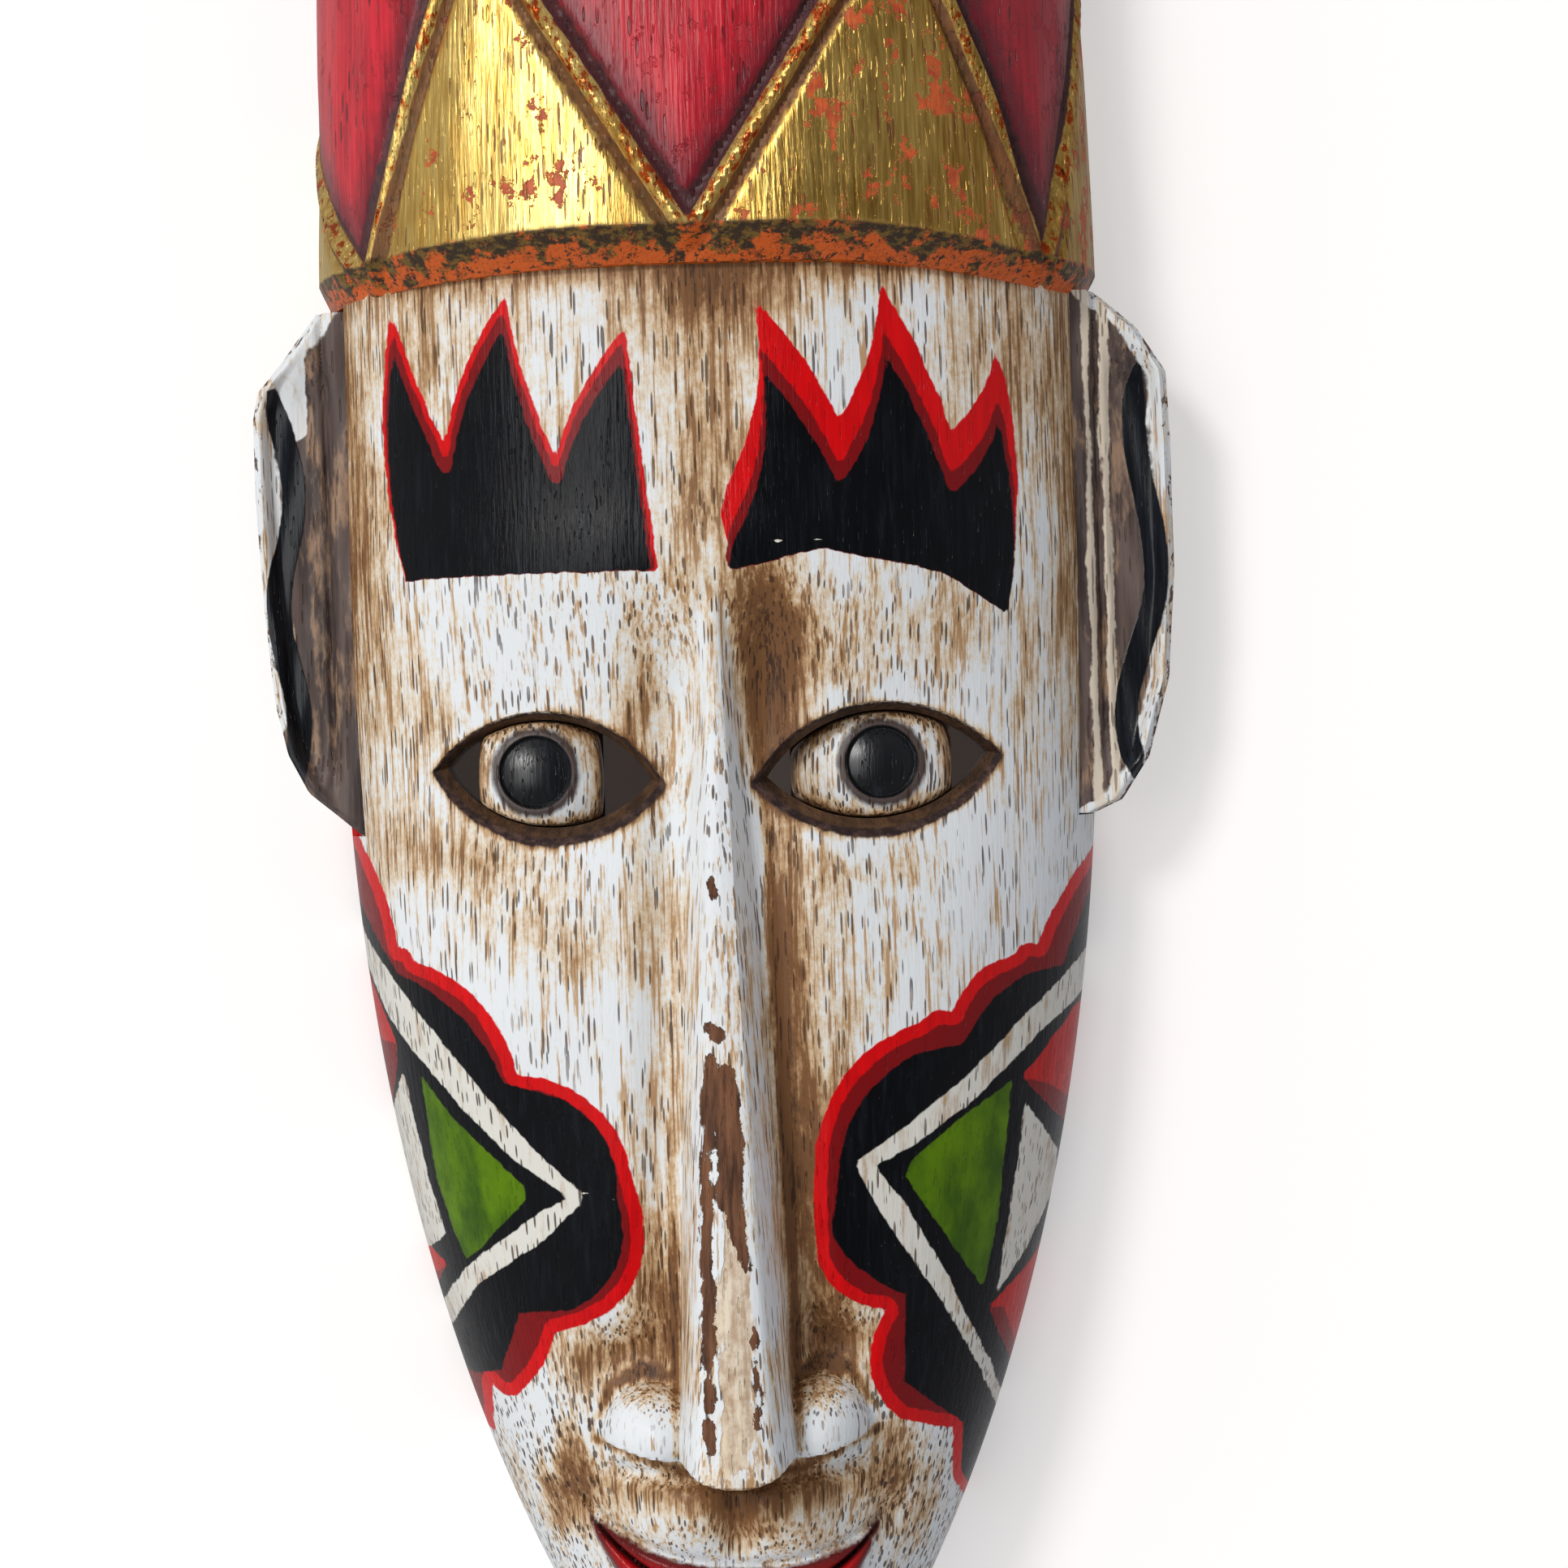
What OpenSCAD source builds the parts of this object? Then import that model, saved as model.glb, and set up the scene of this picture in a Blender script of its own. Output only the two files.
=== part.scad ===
// Carved and painted wooden wall mask with a tall crown, plank ears and a ring hanger.
// Millimetres. +Z up, the face looks along -Y, and the wall is the plane y = 0.
// The origin is where the hanging nail meets the wall.

/* [Face] */
// Height of the crown's brim above the tip of the chin
brim_z = 276; // [268:1:282]
// Half the width of the face where it is widest
face_half = 69.5; // [66:0.5:72]
// Depth of the forehead in front of the wall
face_depth = 58; // [54:1:62]
// Thickness of the carved shell at the front
front_wall = 12; // [11:0.5:14]
// Thickness of the carved shell at the sides
side_wall = 10; // [9:0.5:12]

/* [Nose and mouth] */
// Height of the underside of the nose above the chin
nose_z = 71; // [68:1:76]
// Length of the nose, from its underside up to the brow
nose_length = 150; // [140:1:156]
// How far the nose's tip stands out from the face
nose_rise = 21; // [18:1:24]
// Half the width of the smile
mouth_half = 27; // [24:1:29]
// Height of the middle of the mouth above the chin
mouth_z = 54; // [50:1:56]

/* [Eyes] */
// Middle of the left and the right eye opening, from the centre line
eye_x = [-29.3, 27.6]; // [-32:0.1:32]
// Height of the eyes above the chin
eye_z = 189; // [180:1:194]
// Half the width of the left and the right eye opening
eye_half = [20.6, 22]; // [20:0.1:23]
// Half the height of an eye opening
eye_rise = 11.5; // [11:0.5:12.5]
// Rise of the outer corner of an eye, in degrees
eye_tilt = 5; // [0:1:8]
// Middle of the left and the right eyeball, from the centre line
eyeball_x = [-30.7, 26.5]; // [-32:0.1:32]
// Width of the left and the right eyeball
eyeball_w = [21.4, 28]; // [18:0.2:28]
// Middle of the left and the right pupil, from the centre line
pupil_x = [-31.5, 28.3]; // [-32:0.1:32]
// Radius of the round recess that holds a pupil
pupil_r = 6.5; // [6:0.1:7]

/* [Crown] */
// Height of the crown from its brim to its top
crown_h = 148; // [142:1:160]
// How far the crown stands out beyond the forehead
crown_step = 7.5; // [6:0.5:9]
// Height of a row of carved triangles
row_h = 60; // [54:1:62]
// Width of a carved bead
bead_w = 2.6; // [2.2:0.1:3]

/* [Ears] */
// Distance of an ear's outer edge from the centre line
ear_reach = 81.5; // [79:0.5:84]
// Height of an ear's lower end above the chin
ear_z = 180; // [178:1:184]
// Length of an ear
ear_length = 94; // [90:1:95]
// Thickness of the ear plank
ear_thick = 13; // [11:0.5:14]

/* [Hanger] */
// Distance from the nail up to the top of the crown
nail_drop = 20; // [18:1:22]
// Diameter of the nail that the ring hangs on
nail_d = 3; // [2.5:0.5:3]
// Radius of the ring's bow
ring_r = 7; // [6.5:0.5:8]
// Diameter of the ring's wire
wire_d = 2.2; // [2:0.1:2.4]
// Thickness of the folded strap, both layers
strap_thick = 1.6; // [1.4:0.1:1.8]
// Length of the strap below the ring
strap_length = 23; // [22:0.5:25]

/* [Hidden] */

mask_h = brim_z + crown_h;
nail_z = mask_h - nail_drop;
squareness = 2.3; // exponent of the sections: 2 is an ellipse, more is squarer
around = 32; // points round a section
gap = 0.1; // glue gap between carved blocks

// Face
widest_z = 215;
deepest_z = 200;
face_slices = 26;
hollow_floor = 26; // the hollow starts this far above the chin
hollow_slices = 18;

// Nose and lips
ridge_top_half = 1; // half the width of the ridge where it leaves the brow
ridge_half = 4.2; // and above the tip
foot_half = 9.2; // half the width of the nose's foot on the cheeks
tip_half = 3.4;
nose_block = 6; // depth of the bars that the nose is hulled from
tip_round = 4; // height over which the tip rounds under
wing_x = 15;
wing_r = 6;
wing_end_x = 19;
wing_end_r = 4.5;
lip_pieces = 4; // on each side of the middle
upper_lip = [2.5, 4.2]; // drop below the mouth line and radius
lower_lip = [10, 4.4];
lower_lip_short = 3; // the lower lip ends this far inside the mouth's corners

// Eyes
through = 80; // length of the openings' cutters
seat_y = -42.5; // plane inside the face that the eye blocks are glued to
eye_front_y = -51; // foremost point of an eyeball
eyeball_r = 19;
eye_block_h = 34;
eye_block_back = -35;
lid_gap = 0.4;
pupil_depth = 2.5;

// Crown
brim_bevel = 6;
crown_margin = 1.7; // the crown is this much wider than the face on each side
crown_taper = 3.5; // and its half width falls by this much up to its top
shoulder_z = brim_z + 92;
hollow_top = nail_z - 42;
crown_slices = 14;
bead_step = 27; // angle round the crown from a bead's foot to its head
bead_pieces = 3;

// Ears and their seats in the sides of the face
ear_seat_x = 62.5;
ear_front_y = -25;
peg_r = 2.5;
peg_z = [205, 250];
peg_in = 57; // inner end of a peg, flush with the hollow
peg_out = 74;
ear_corner = 6;
ear_trough_r = 12;
ear_trough_x = 9.5; // the trough's axis is this far inside the edge
ear_trough_y = 9; // and this far in front of the plank

// Dowels between the face and the crown
dowel_r = 4;
dowel_angle = 42;
dowel_reach = 18;

// Hanger, in a pocket let into the back of the crown
pocket_d = 4.9;
pocket_w = 26;
wire_r = wire_d / 2;
pivot_y = -2.6;
pivot_fit = 0.08;
loop_wall = 1.05;
leg = 4; // straight part of the ring between its bar and its bow
lean = asin((pocket_d + pivot_y - wire_r - 0.05) / (leg + ring_r));
pivot_z = nail_z + nail_d / 2 + wire_r - (leg + ring_r) * cos(lean);
strap_w = 2 * ring_r - wire_d - 1;
screw_drop = [9.5, 18]; // the screws' distances below the ring's bar
screw_r = 1.6;
screw_length = 14;
screw_tip = 3;
head_r = 3.1;
head_h = 1.8;
head_edge = 0.6;
slot_w = 0.8;
slot_l = 3.6;

// Half width and depth of the face at a height above the chin
function face_w(z) = z >= widest_z ? face_half
    : face_half * pow(max(0.004, 1 - pow((widest_z - z) / widest_z, 2.1)), 0.714);
function face_d(z) = z >= deepest_z ? face_depth
    : face_depth * pow(max(0.004, 1 - pow((deepest_z - z) / deepest_z, 4)), 0.417);

// The same of the hollow inside it
function opened(z) = pow(min(1, (z - hollow_floor) / 34), 0.5);
function hollow_w(z) = 3 + (face_w(z) - side_wall - 3) * opened(z);
function hollow_d(z) = 6 + (face_d(z) - front_wall - 6) * opened(z);

// Share of the full section that is left above the crown's shoulders
function dome(z) = z <= shoulder_z ? 1 : pow(max(0.03, 1 - pow((z - shoulder_z) / (mask_h - shoulder_z), 2.4)), 0.5);
function crown_w(z) = (face_half + crown_margin - crown_taper * (z - brim_z) / crown_h) * dome(z);
function crown_d(z) = (face_depth + crown_step - crown_taper * (z - brim_z) / crown_h) * (0.35 + 0.65 * dome(z));

// Point on a section at an angle from the front, from -90 at the left rim to 90 at the right rim
function rounded(v) = sign(v) * pow(abs(v), 2 / squareness);
function on_section(a, w, d) = [w * rounded(sin(a)), -d * rounded(cos(a))];
function section(w, d) = [for (i = [0:around]) on_section(-90 + 180 * i / around, w, d)];
function cut_section(w, d) = concat(section(w, d), [[w, 1], [-w, 1]]);

// Solid through a list of sections, each with the same number of points, at the heights given
module loft(sections, heights) {
    count = len(sections[0]);
    last = len(heights) - 1;
    points = [for (k = [0:last]) for (p = sections[k]) [p[0], p[1], heights[k]]];
    sides = [for (k = [0:last - 1]) for (i = [0:count - 1])
        let (a = k * count + i, b = k * count + (i + 1) % count)
        each [[a, a + count, b + count], [a, b + count, b]]];
    bottom = [for (i = [0:count - 1]) i];
    top = [for (i = [count - 1:-1:0]) last * count + i];
    polyhedron(points, concat(sides, [bottom, top]), convexity = 6);
}

module face_block() {
    heights = [for (i = [0:face_slices]) brim_z * pow(i / face_slices, 1.5)];
    loft([for (z = heights) section(face_w(z), face_d(z))], heights);
}

module face_hollow() {
    span = brim_z + 1 - hollow_floor;
    heights = [for (i = [0:hollow_slices]) hollow_floor + span * pow(i / hollow_slices, 1.4)];
    loft([for (z = heights) cut_section(hollow_w(z), hollow_d(z))], heights);
}

// Bar across the centre line, from its front surface back
module bar(half, front, deep, z, h) { translate([-half, -front, z]) cube([2 * half, deep, h]); }

// Long nose with a flat ridge, and its two wings
module nose() {
    top = nose_z + nose_length;
    cheek = face_d(nose_z);
    tip = cheek + nose_rise;
    hull() {
        bar(ridge_top_half, face_d(top) + 0.5, nose_block, top, 1);
        bar(ridge_half, tip, nose_block, nose_z + tip_round, 2);
        bar(foot_half, cheek + 4, 2 * nose_block, nose_z + 2, 2);
    }
    hull() {
        bar(tip_half, tip - 1.5, nose_block, nose_z, nose_block);
        bar(foot_half - 1.2, cheek, nose_block + 2, nose_z + 1, nose_block);
    }
    for (s = [-1, 1]) {
        hull() {
            translate([s * wing_x, -cheek - 2, nose_z + wing_r + 1]) sphere(r = wing_r, $fn = 20);
            translate([s * wing_end_x, -cheek + 2, nose_z + 2 * wing_end_r]) sphere(r = wing_end_r, $fn = 20);
        }
    }
}

// Height of the mouth line, which curves up to its corners
function smile_z(x) = mouth_z + 7.5 * pow(abs(x) / mouth_half, 2);
function face_y(x, z) = -face_d(z) * pow(1 - pow(min(0.98, abs(x) / face_w(z)), squareness), 1 / squareness);

module lip(drop, r, reach) {
    for (i = [-lip_pieces:lip_pieces - 1]) {
        hull() {
            for (k = [i, i + 1]) {
                x = reach * k / lip_pieces;
                bow = 1 - pow(abs(k) / lip_pieces, 2);
                z = smile_z(x) - drop * bow;
                size = r * (0.4 + 0.6 * bow);
                translate([x, face_y(x, z) + 0.4 * size, z]) sphere(r = size, $fn = 14);
            }
        }
    }
}

module ear_seat(s) {
    scale([s, 1, 1])
        translate([ear_seat_x, ear_front_y - gap, ear_z - gap])
            cube([20, ear_thick + 2 * gap, ear_length + 5]);
}

// Almond-shaped prism, which runs along Y and has its middle at an eye, 0 left or 1 right
module almond(i, clear) {
    eye_r = (eye_half[i] * eye_half[i] + eye_rise * eye_rise) / (2 * eye_rise);
    r = eye_r - clear;
    off = eye_r - eye_rise;
    translate([eye_x[i], 0, eye_z]) rotate([90, -sign(eye_x[i]) * eye_tilt, 0])
        intersection() {
            translate([0, off, 0]) cylinder(r = r, h = through, $fn = 72);
            translate([0, -off, 0]) cylinder(r = r, h = through, $fn = 72);
        }
}

module eye_seat(i) {
    w = eyeball_w[i] + 2 * gap;
    translate([eyeball_x[i] - w / 2, seat_y, eye_z - eye_block_h / 2 - gap])
        cube([w, 30, eye_block_h + 2 * gap]);
}

module crown_dowel(r, reach) {
    z = brim_z;
    p = on_section(dowel_angle, face_w(z) - side_wall / 2, face_d(z) - front_wall / 2);
    for (s = [-1, 1]) {
        translate([s * p[0], p[1], z - reach]) cylinder(r = r, h = 2 * reach, $fn = 36);
    }
}

module ear_peg(s, r) {
    for (z = peg_z) {
        translate([s > 0 ? peg_in : -peg_out, ear_front_y + ear_thick / 2, z])
            rotate([0, 90, 0]) cylinder(r = r, h = peg_out - peg_in, $fn = 36);
    }
}

module carved_face() {
    color("ivory") hung() difference() {
        union() {
            face_block();
            nose();
            lip(upper_lip[0], upper_lip[1], mouth_half);
            lip(lower_lip[0], lower_lip[1], mouth_half - lower_lip_short);
        }
        face_hollow();
        for (i = [0, 1]) {
            almond(i, 0);
            eye_seat(i);
        }
        for (s = [-1, 1]) {
            ear_seat(s);
            ear_peg(s, peg_r + gap);
        }
        crown_dowel(dowel_r + gap, dowel_reach + 1);
    }
}

// Block with a bevelled brim, tapered sides and a domed top
module crown_block() {
    sides = [for (i = [0:crown_slices]) brim_z + brim_bevel
        + (crown_h - brim_bevel) * (1 - pow(1 - i / crown_slices, 1.7))];
    heights = concat([brim_z + gap], sides);
    loft([for (z = heights) let (inset = z < brim_z + 1 ? crown_step - 1.5 : 0)
        section(crown_w(z) - inset * 0.4, crown_d(z) - inset)], heights);
}

module crown_hollow() {
    heights = [for (i = [0:8]) brim_z - 1 + (hollow_top - brim_z + 1) * (1 - pow(1 - i / 8, 2))];
    loft([for (z = heights)
        let (arch = pow(max(0.02, 1 - pow(max(0, z - brim_z) / (hollow_top - brim_z + 0.5), 4)), 0.5))
        cut_section((face_half - side_wall) * (0.2 + 0.8 * arch), (face_depth - front_wall) * (0.3 + 0.7 * arch))],
        heights);
}

// Point on the crown's surface at an angle and a height
function on_crown(a, z) = let (p = on_section(a, crown_w(z), crown_d(z))) [p[0], p[1], z];

module bead(a, z, to_a, to_z) {
    for (i = [0:bead_pieces - 1]) {
        hull() {
            for (t = [i, i + 1] / bead_pieces) {
                translate(on_crown(a + (to_a - a) * t, z + (to_z - z) * t)) sphere(d = bead_w, $fn = 8);
            }
        }
    }
}

// Two rows of triangles that meet point to point, so that they frame a row of lozenges
module beads() {
    foot = brim_z + brim_bevel + 1;
    for (k = [-3:2]) {
        up = k % 2 == 0;
        for (row = [0, 1]) {
            low = foot + row * row_h;
            high = low + row_h - 1;
            rises = (row == 0) == up;
            bead(k * bead_step, rises ? low : high, (k + 1) * bead_step, rises ? high : low);
        }
    }
}

module hanger_pocket() {
    translate([-pocket_w / 2, -pocket_d, pivot_z - strap_length - 3])
        cube([pocket_w, pocket_d + 1, strap_length + leg + ring_r + 8]);
}

module carved_crown() {
    color("gold") hung() difference() {
        union() {
            crown_block();
            beads();
        }
        crown_hollow();
        hanger_pocket();
        crown_dowel(dowel_r + gap, dowel_reach + 1);
        screw_shanks(screw_r + gap, screw_length + 1);
    }
}

// Outline of an ear, with its foot end narrower than its head end
module ear_outline() {
    x0 = ear_seat_x + gap;
    intersection() {
        offset(r = ear_corner, $fn = 40) polygon([
            [x0, ear_z + ear_corner], [ear_reach - 15, ear_z + 7], [ear_reach - 8.5, ear_z + 20],
            [ear_reach - ear_corner, ear_z + 44], [ear_reach - ear_corner, ear_z + 75],
            [ear_reach - 11, ear_z + 84], [x0, ear_z + ear_length - ear_corner]]);
        translate([x0, ear_z]) square([40, ear_length - gap]);
    }
}

module ear(s) {
    color("linen") hung() difference() {
        scale([s, 1, 1])
            translate([0, ear_front_y + ear_thick, 0]) rotate([90, 0, 0])
                difference() {
                    linear_extrude(ear_thick) ear_outline();
                    // Hollow of the ear, a shallow trough along its front
                    translate([ear_reach - ear_trough_x, ear_z + 20, ear_thick + ear_trough_y])
                        rotate([-90, 0, 0]) cylinder(r = ear_trough_r, h = 58, $fn = 48);
                }
        ear_peg(s, peg_r + gap);
    }
}

module left_ear() { ear(-1); }

module right_ear() { ear(1); }

// Block glued behind an eye opening, with a rounded front and a recessed pupil
module eye_block(i) {
    w = eyeball_w[i];
    color("white") hung() difference() {
        union() {
            intersection() {
                almond(i, lid_gap);
                translate([eyeball_x[i], eye_front_y + eyeball_r, eye_z]) sphere(r = eyeball_r, $fn = 72);
                translate([eyeball_x[i] - w / 2, eye_front_y - 1, eye_z - 20]) cube([w, 14, 40]);
            }
            translate([eyeball_x[i] - w / 2, seat_y + gap, eye_z - eye_block_h / 2])
                cube([w, eye_block_back - seat_y, eye_block_h]);
        }
        translate([pupil_x[i], eye_front_y + pupil_depth, eye_z]) rotate([90, 0, 0]) difference() {
            cylinder(r = pupil_r, h = 10, $fn = 72);
            translate([0, 0, -14]) sphere(r = 15, $fn = 72);
        }
    }
}

module left_eye() { eye_block(0); }

module right_eye() { eye_block(1); }

module crown_dowels() {
    color("burlywood") hung() crown_dowel(dowel_r, dowel_reach);
}

module ear_pegs() {
    color("burlywood") hung() for (s = [-1, 1]) {
        ear_peg(s, peg_r);
    }
}

// Strip of steel folded round the ring's bar, with two screw holes
module hanger_strap() {
    loop_r = wire_r + pivot_fit + loop_wall;
    color("silver") hung() difference() {
        union() {
            translate([-strap_w / 2, pivot_y, pivot_z]) rotate([0, 90, 0]) cylinder(r = loop_r, h = strap_w, $fn = 48);
            translate([-strap_w / 2, -pocket_d, pivot_z - strap_length + strap_w / 2])
                cube([strap_w, strap_thick, strap_length - strap_w / 2]);
            translate([0, -pocket_d, pivot_z - strap_length + strap_w / 2])
                rotate([-90, 0, 0]) cylinder(d = strap_w, h = strap_thick, $fn = 48);
        }
        translate([-strap_w, pivot_y, pivot_z]) rotate([0, 90, 0])
            cylinder(r = wire_r + pivot_fit, h = 2 * strap_w, $fn = 48);
        screw_shanks(screw_r + 0.3, screw_length);
    }
}

module wire(length) { cylinder(r = wire_r, h = length, $fn = 32); }

// D-shaped ring: a bar in the strap's loop, two legs and a bow, which lean back against the pocket
module hanger_ring() {
    color("silver") hung() translate([0, pivot_y, pivot_z]) rotate([lean, 0, 0]) {
        translate([-ring_r, 0, 0]) rotate([0, 90, 0]) wire(2 * ring_r);
        for (s = [-1, 1]) {
            translate([s * ring_r, 0, 0]) sphere(r = wire_r, $fn = 32);
            translate([s * ring_r, 0, 0]) wire(leg);
        }
        translate([0, 0, leg]) rotate([90, 0, 0])
            rotate_extrude(angle = 180, $fn = 64) translate([ring_r, 0]) circle(r = wire_r, $fn = 32);
    }
}

module screw_shanks(r, length) {
    for (drop = screw_drop) {
        translate([0, -pocket_d + strap_thick, pivot_z - drop]) rotate([90, 0, 0]) {
            cylinder(r = r, h = length - screw_tip, $fn = 36);
            translate([0, 0, length - screw_tip]) cylinder(r1 = r, r2 = 0.3, h = screw_tip, $fn = 36);
        }
    }
}

// Pan-head wood screws with crossed slots
module hanger_screws() {
    color("silver") hung() difference() {
        union() {
            screw_shanks(screw_r, screw_length);
            for (drop = screw_drop) {
                translate([0, -pocket_d + strap_thick, pivot_z - drop]) rotate([-90, 0, 0]) {
                    cylinder(r = head_r, h = head_h - head_edge, $fn = 48);
                    translate([0, 0, head_h - head_edge])
                        cylinder(r1 = head_r, r2 = head_r - head_edge, h = head_edge, $fn = 48);
                }
            }
        }
        for (drop = screw_drop) {
            translate([0, -pocket_d + strap_thick + head_h, pivot_z - drop]) {
                cube([slot_l, 2, slot_w], center = true);
                cube([slot_w, 2, slot_l], center = true);
            }
        }
    }
}

// Everything is drawn upwards from the chin, and then set down to the nail
module hung() {
    translate([0, 0, -nail_z]) children();
}

carved_face();
carved_crown();
left_ear();
right_ear();
left_eye();
right_eye();
crown_dowels();
ear_pegs();
hanger_strap();
hanger_ring();
hanger_screws();
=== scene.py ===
# Painted wall mask with a gilded crown: the carved and painted pieces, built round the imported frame.
# Shapes are worked out in millimetres, upwards from the chin and outwards from the wall (y = 0).
import math

import bpy
import numpy as np
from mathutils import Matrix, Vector


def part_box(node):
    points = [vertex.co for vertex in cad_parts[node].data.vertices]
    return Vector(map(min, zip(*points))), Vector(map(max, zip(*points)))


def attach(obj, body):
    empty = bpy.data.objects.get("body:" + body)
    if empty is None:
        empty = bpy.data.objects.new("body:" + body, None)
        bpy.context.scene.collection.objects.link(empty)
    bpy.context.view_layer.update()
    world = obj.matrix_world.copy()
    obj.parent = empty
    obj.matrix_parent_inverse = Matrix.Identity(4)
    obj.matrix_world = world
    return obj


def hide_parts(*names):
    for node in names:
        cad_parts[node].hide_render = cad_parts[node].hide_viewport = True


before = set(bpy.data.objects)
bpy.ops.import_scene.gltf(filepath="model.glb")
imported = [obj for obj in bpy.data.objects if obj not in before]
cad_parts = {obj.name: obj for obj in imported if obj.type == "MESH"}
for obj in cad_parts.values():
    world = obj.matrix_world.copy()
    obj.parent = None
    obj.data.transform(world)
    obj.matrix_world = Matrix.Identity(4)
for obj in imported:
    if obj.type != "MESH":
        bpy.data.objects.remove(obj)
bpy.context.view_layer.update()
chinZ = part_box("carved_face")[0].z  # metres, lowest point of the face

view = {
    "lens": 86.6,
    "sensor": 36,
    "place": (11.3, -700, 187),  # mm from the centre line, the wall and the chin
    "roll": 1.753,  # degrees, the top of the mask leans to the left
}

light = {
    "sunFrom": (-0.44, -0.78, 0.43),
    "sunStrength": 1.3,
    "sunSpread": 12,
    "windowFrom": (-0.42, -0.9, 0.14),
    "windowAway": 1.6,  # metres
    "windowSize": (0.7, 1.0),
    "windowGlow": 3.1,
    "skyLeft": (0.7, 0.7, 0.7),
    "skyRight": (0.48, 0.48, 0.5),
    "skyFront": 0.3,  # share of the sky's light that is left behind the camera
    "skyShine": 0.6,  # and the share of it that glossy surfaces mirror
}


def inMetres(points):
    out = np.asarray(points, float).reshape(-1, 3) / 1000
    out[:, 2] += chinZ
    return out


def setCamera():
    data = bpy.data.cameras.new("frontView")
    data.lens = view["lens"]
    data.sensor_width = view["sensor"]
    data.clip_start = 0.01
    cam = bpy.data.objects.new("frontView", data)
    bpy.context.collection.objects.link(cam)
    cam.location = Vector(inMetres([view["place"]])[0])
    cam.rotation_euler = (math.radians(90), math.radians(view["roll"]), 0)
    bpy.context.scene.camera = cam


setCamera()
print("camera set")


# small helpers


def smooth(low, high, value):
    t = np.clip((value - low) / (high - low), 0, 1)
    return t * t * (3 - 2 * t)


def hill(x, z, cx, cz, rx, rz):
    return np.exp(-(((x - cx) / rx) ** 2) - ((z - cz) / rz) ** 2)


def power(value, exponent):
    return np.sign(value) * np.abs(value) ** exponent


def meshObject(name, points, faces):
    mesh = bpy.data.meshes.new(name)
    mesh.from_pydata(inMetres(points).tolist(), [], faces)
    mesh.update()
    obj = bpy.data.objects.new(name, mesh)
    bpy.context.collection.objects.link(obj)
    return obj


def loft(name, rings):
    # closed rings of equal length, from the bottom up, each running left, front, right
    rings = np.asarray(rings, float)
    rows, count = rings.shape[:2]
    at = np.arange(rows * count).reshape(rows, count)
    onward = np.roll(at, -1, axis=1)
    quads = np.stack([at[:-1], onward[:-1], onward[1:], at[1:]], axis=-1).reshape(-1, 4)
    faces = quads.tolist() + [at[0, ::-1].tolist(), at[-1].tolist()]
    return meshObject(name, rings.reshape(-1, 3), faces)


def boxBlock(low, high):
    x0, y0, z0 = low
    x1, y1, z1 = high
    ring = [(x0, y1), (x0, y0), (x1, y0), (x1, y1)]
    return loft("block", [[(x, y, z) for x, y in ring] for z in (z0, z1)])


def rod(start, along, r, length, tip=None, sides=48):
    # round bar from a point along an axis, or a cone towards tip
    axis = Vector(along).normalized()
    side = axis.orthogonal().normalized()
    other = axis.cross(side)
    rings = []
    for t, radius in ((0, r), (length, r if tip is None else tip)):
        middle = Vector(start) + axis * t
        turn = [2 * math.pi * i / sides for i in range(sides)]
        rings.append([tuple(middle + (side * math.cos(a) + other * math.sin(a)) * radius) for a in turn])
    return loft("rod", rings)


def combine(target, tools, how="DIFFERENCE"):
    for tool in tools:
        step = target.modifiers.new("cut", "BOOLEAN")
        step.solver = "MANIFOLD"
        step.operation = how
        step.object = tool
    graph = bpy.context.evaluated_depsgraph_get()
    done = bpy.data.meshes.new_from_object(target.evaluated_get(graph))
    target.modifiers.clear()
    old = target.data
    target.data = done
    bpy.data.meshes.remove(old)
    for tool in tools:
        mesh = tool.data
        bpy.data.objects.remove(tool)
        bpy.data.meshes.remove(mesh)
    return target


def pointsOf(obj):
    flat = np.zeros(len(obj.data.vertices) * 3)
    obj.data.vertices.foreach_get("co", flat)
    points = flat.reshape(-1, 3)
    points[:, 2] -= chinZ
    points *= 1000
    return points


def store(obj, fields):
    for name, values in fields.items():
        layer = obj.data.attributes.new(name, "FLOAT", "POINT")
        layer.data.foreach_set("value", np.asarray(values, np.float32))


def finishShape(obj, angle):
    obj.data.shade_smooth()
    obj.data.set_sharp_from_angle(angle=math.radians(angle))


def curved(points, steps=7):
    # each point is (x, z) or (x, z, sagitta): a sagitta bows the stretch that follows to its left
    out = []
    for i, point in enumerate(points):
        a = np.array(point[:2], float)
        b = np.array(points[(i + 1) % len(points)][:2], float)
        out.append(a)
        if len(point) > 2:
            normal = np.array([a[1] - b[1], b[0] - a[0]]) / max(np.hypot(*(b - a)), 1e-6)
            for k in range(1, steps):
                t = k / steps
                out.append(a + (b - a) * t + normal * point[2] * 4 * t * (1 - t))
    return np.array(out)


def inside(x, z, points):
    # distance in millimetres from the outline, positive inside it
    path = curved(points)
    ends = np.roll(path, -1, axis=0)
    nearest = np.full(x.shape, 1e9)
    within = np.zeros(x.shape, bool)
    for (ax, az), (bx, bz) in zip(path, ends):
        dx, dz = bx - ax, bz - az
        t = np.clip(((x - ax) * dx + (z - az) * dz) / max(dx * dx + dz * dz, 1e-9), 0, 1)
        nearest = np.minimum(nearest, (x - ax - t * dx) ** 2 + (z - az - t * dz) ** 2)
        if az != bz:
            crosses = ((az > z) != (bz > z)) & (x < (bx - ax) * (z - az) / (bz - az) + ax)
            within ^= crosses
    return np.where(within, 1, -1) * np.sqrt(nearest)


def insideAny(x, z, outlines):
    return np.max([inside(x, z, outline) for outline in outlines], axis=0)


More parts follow.
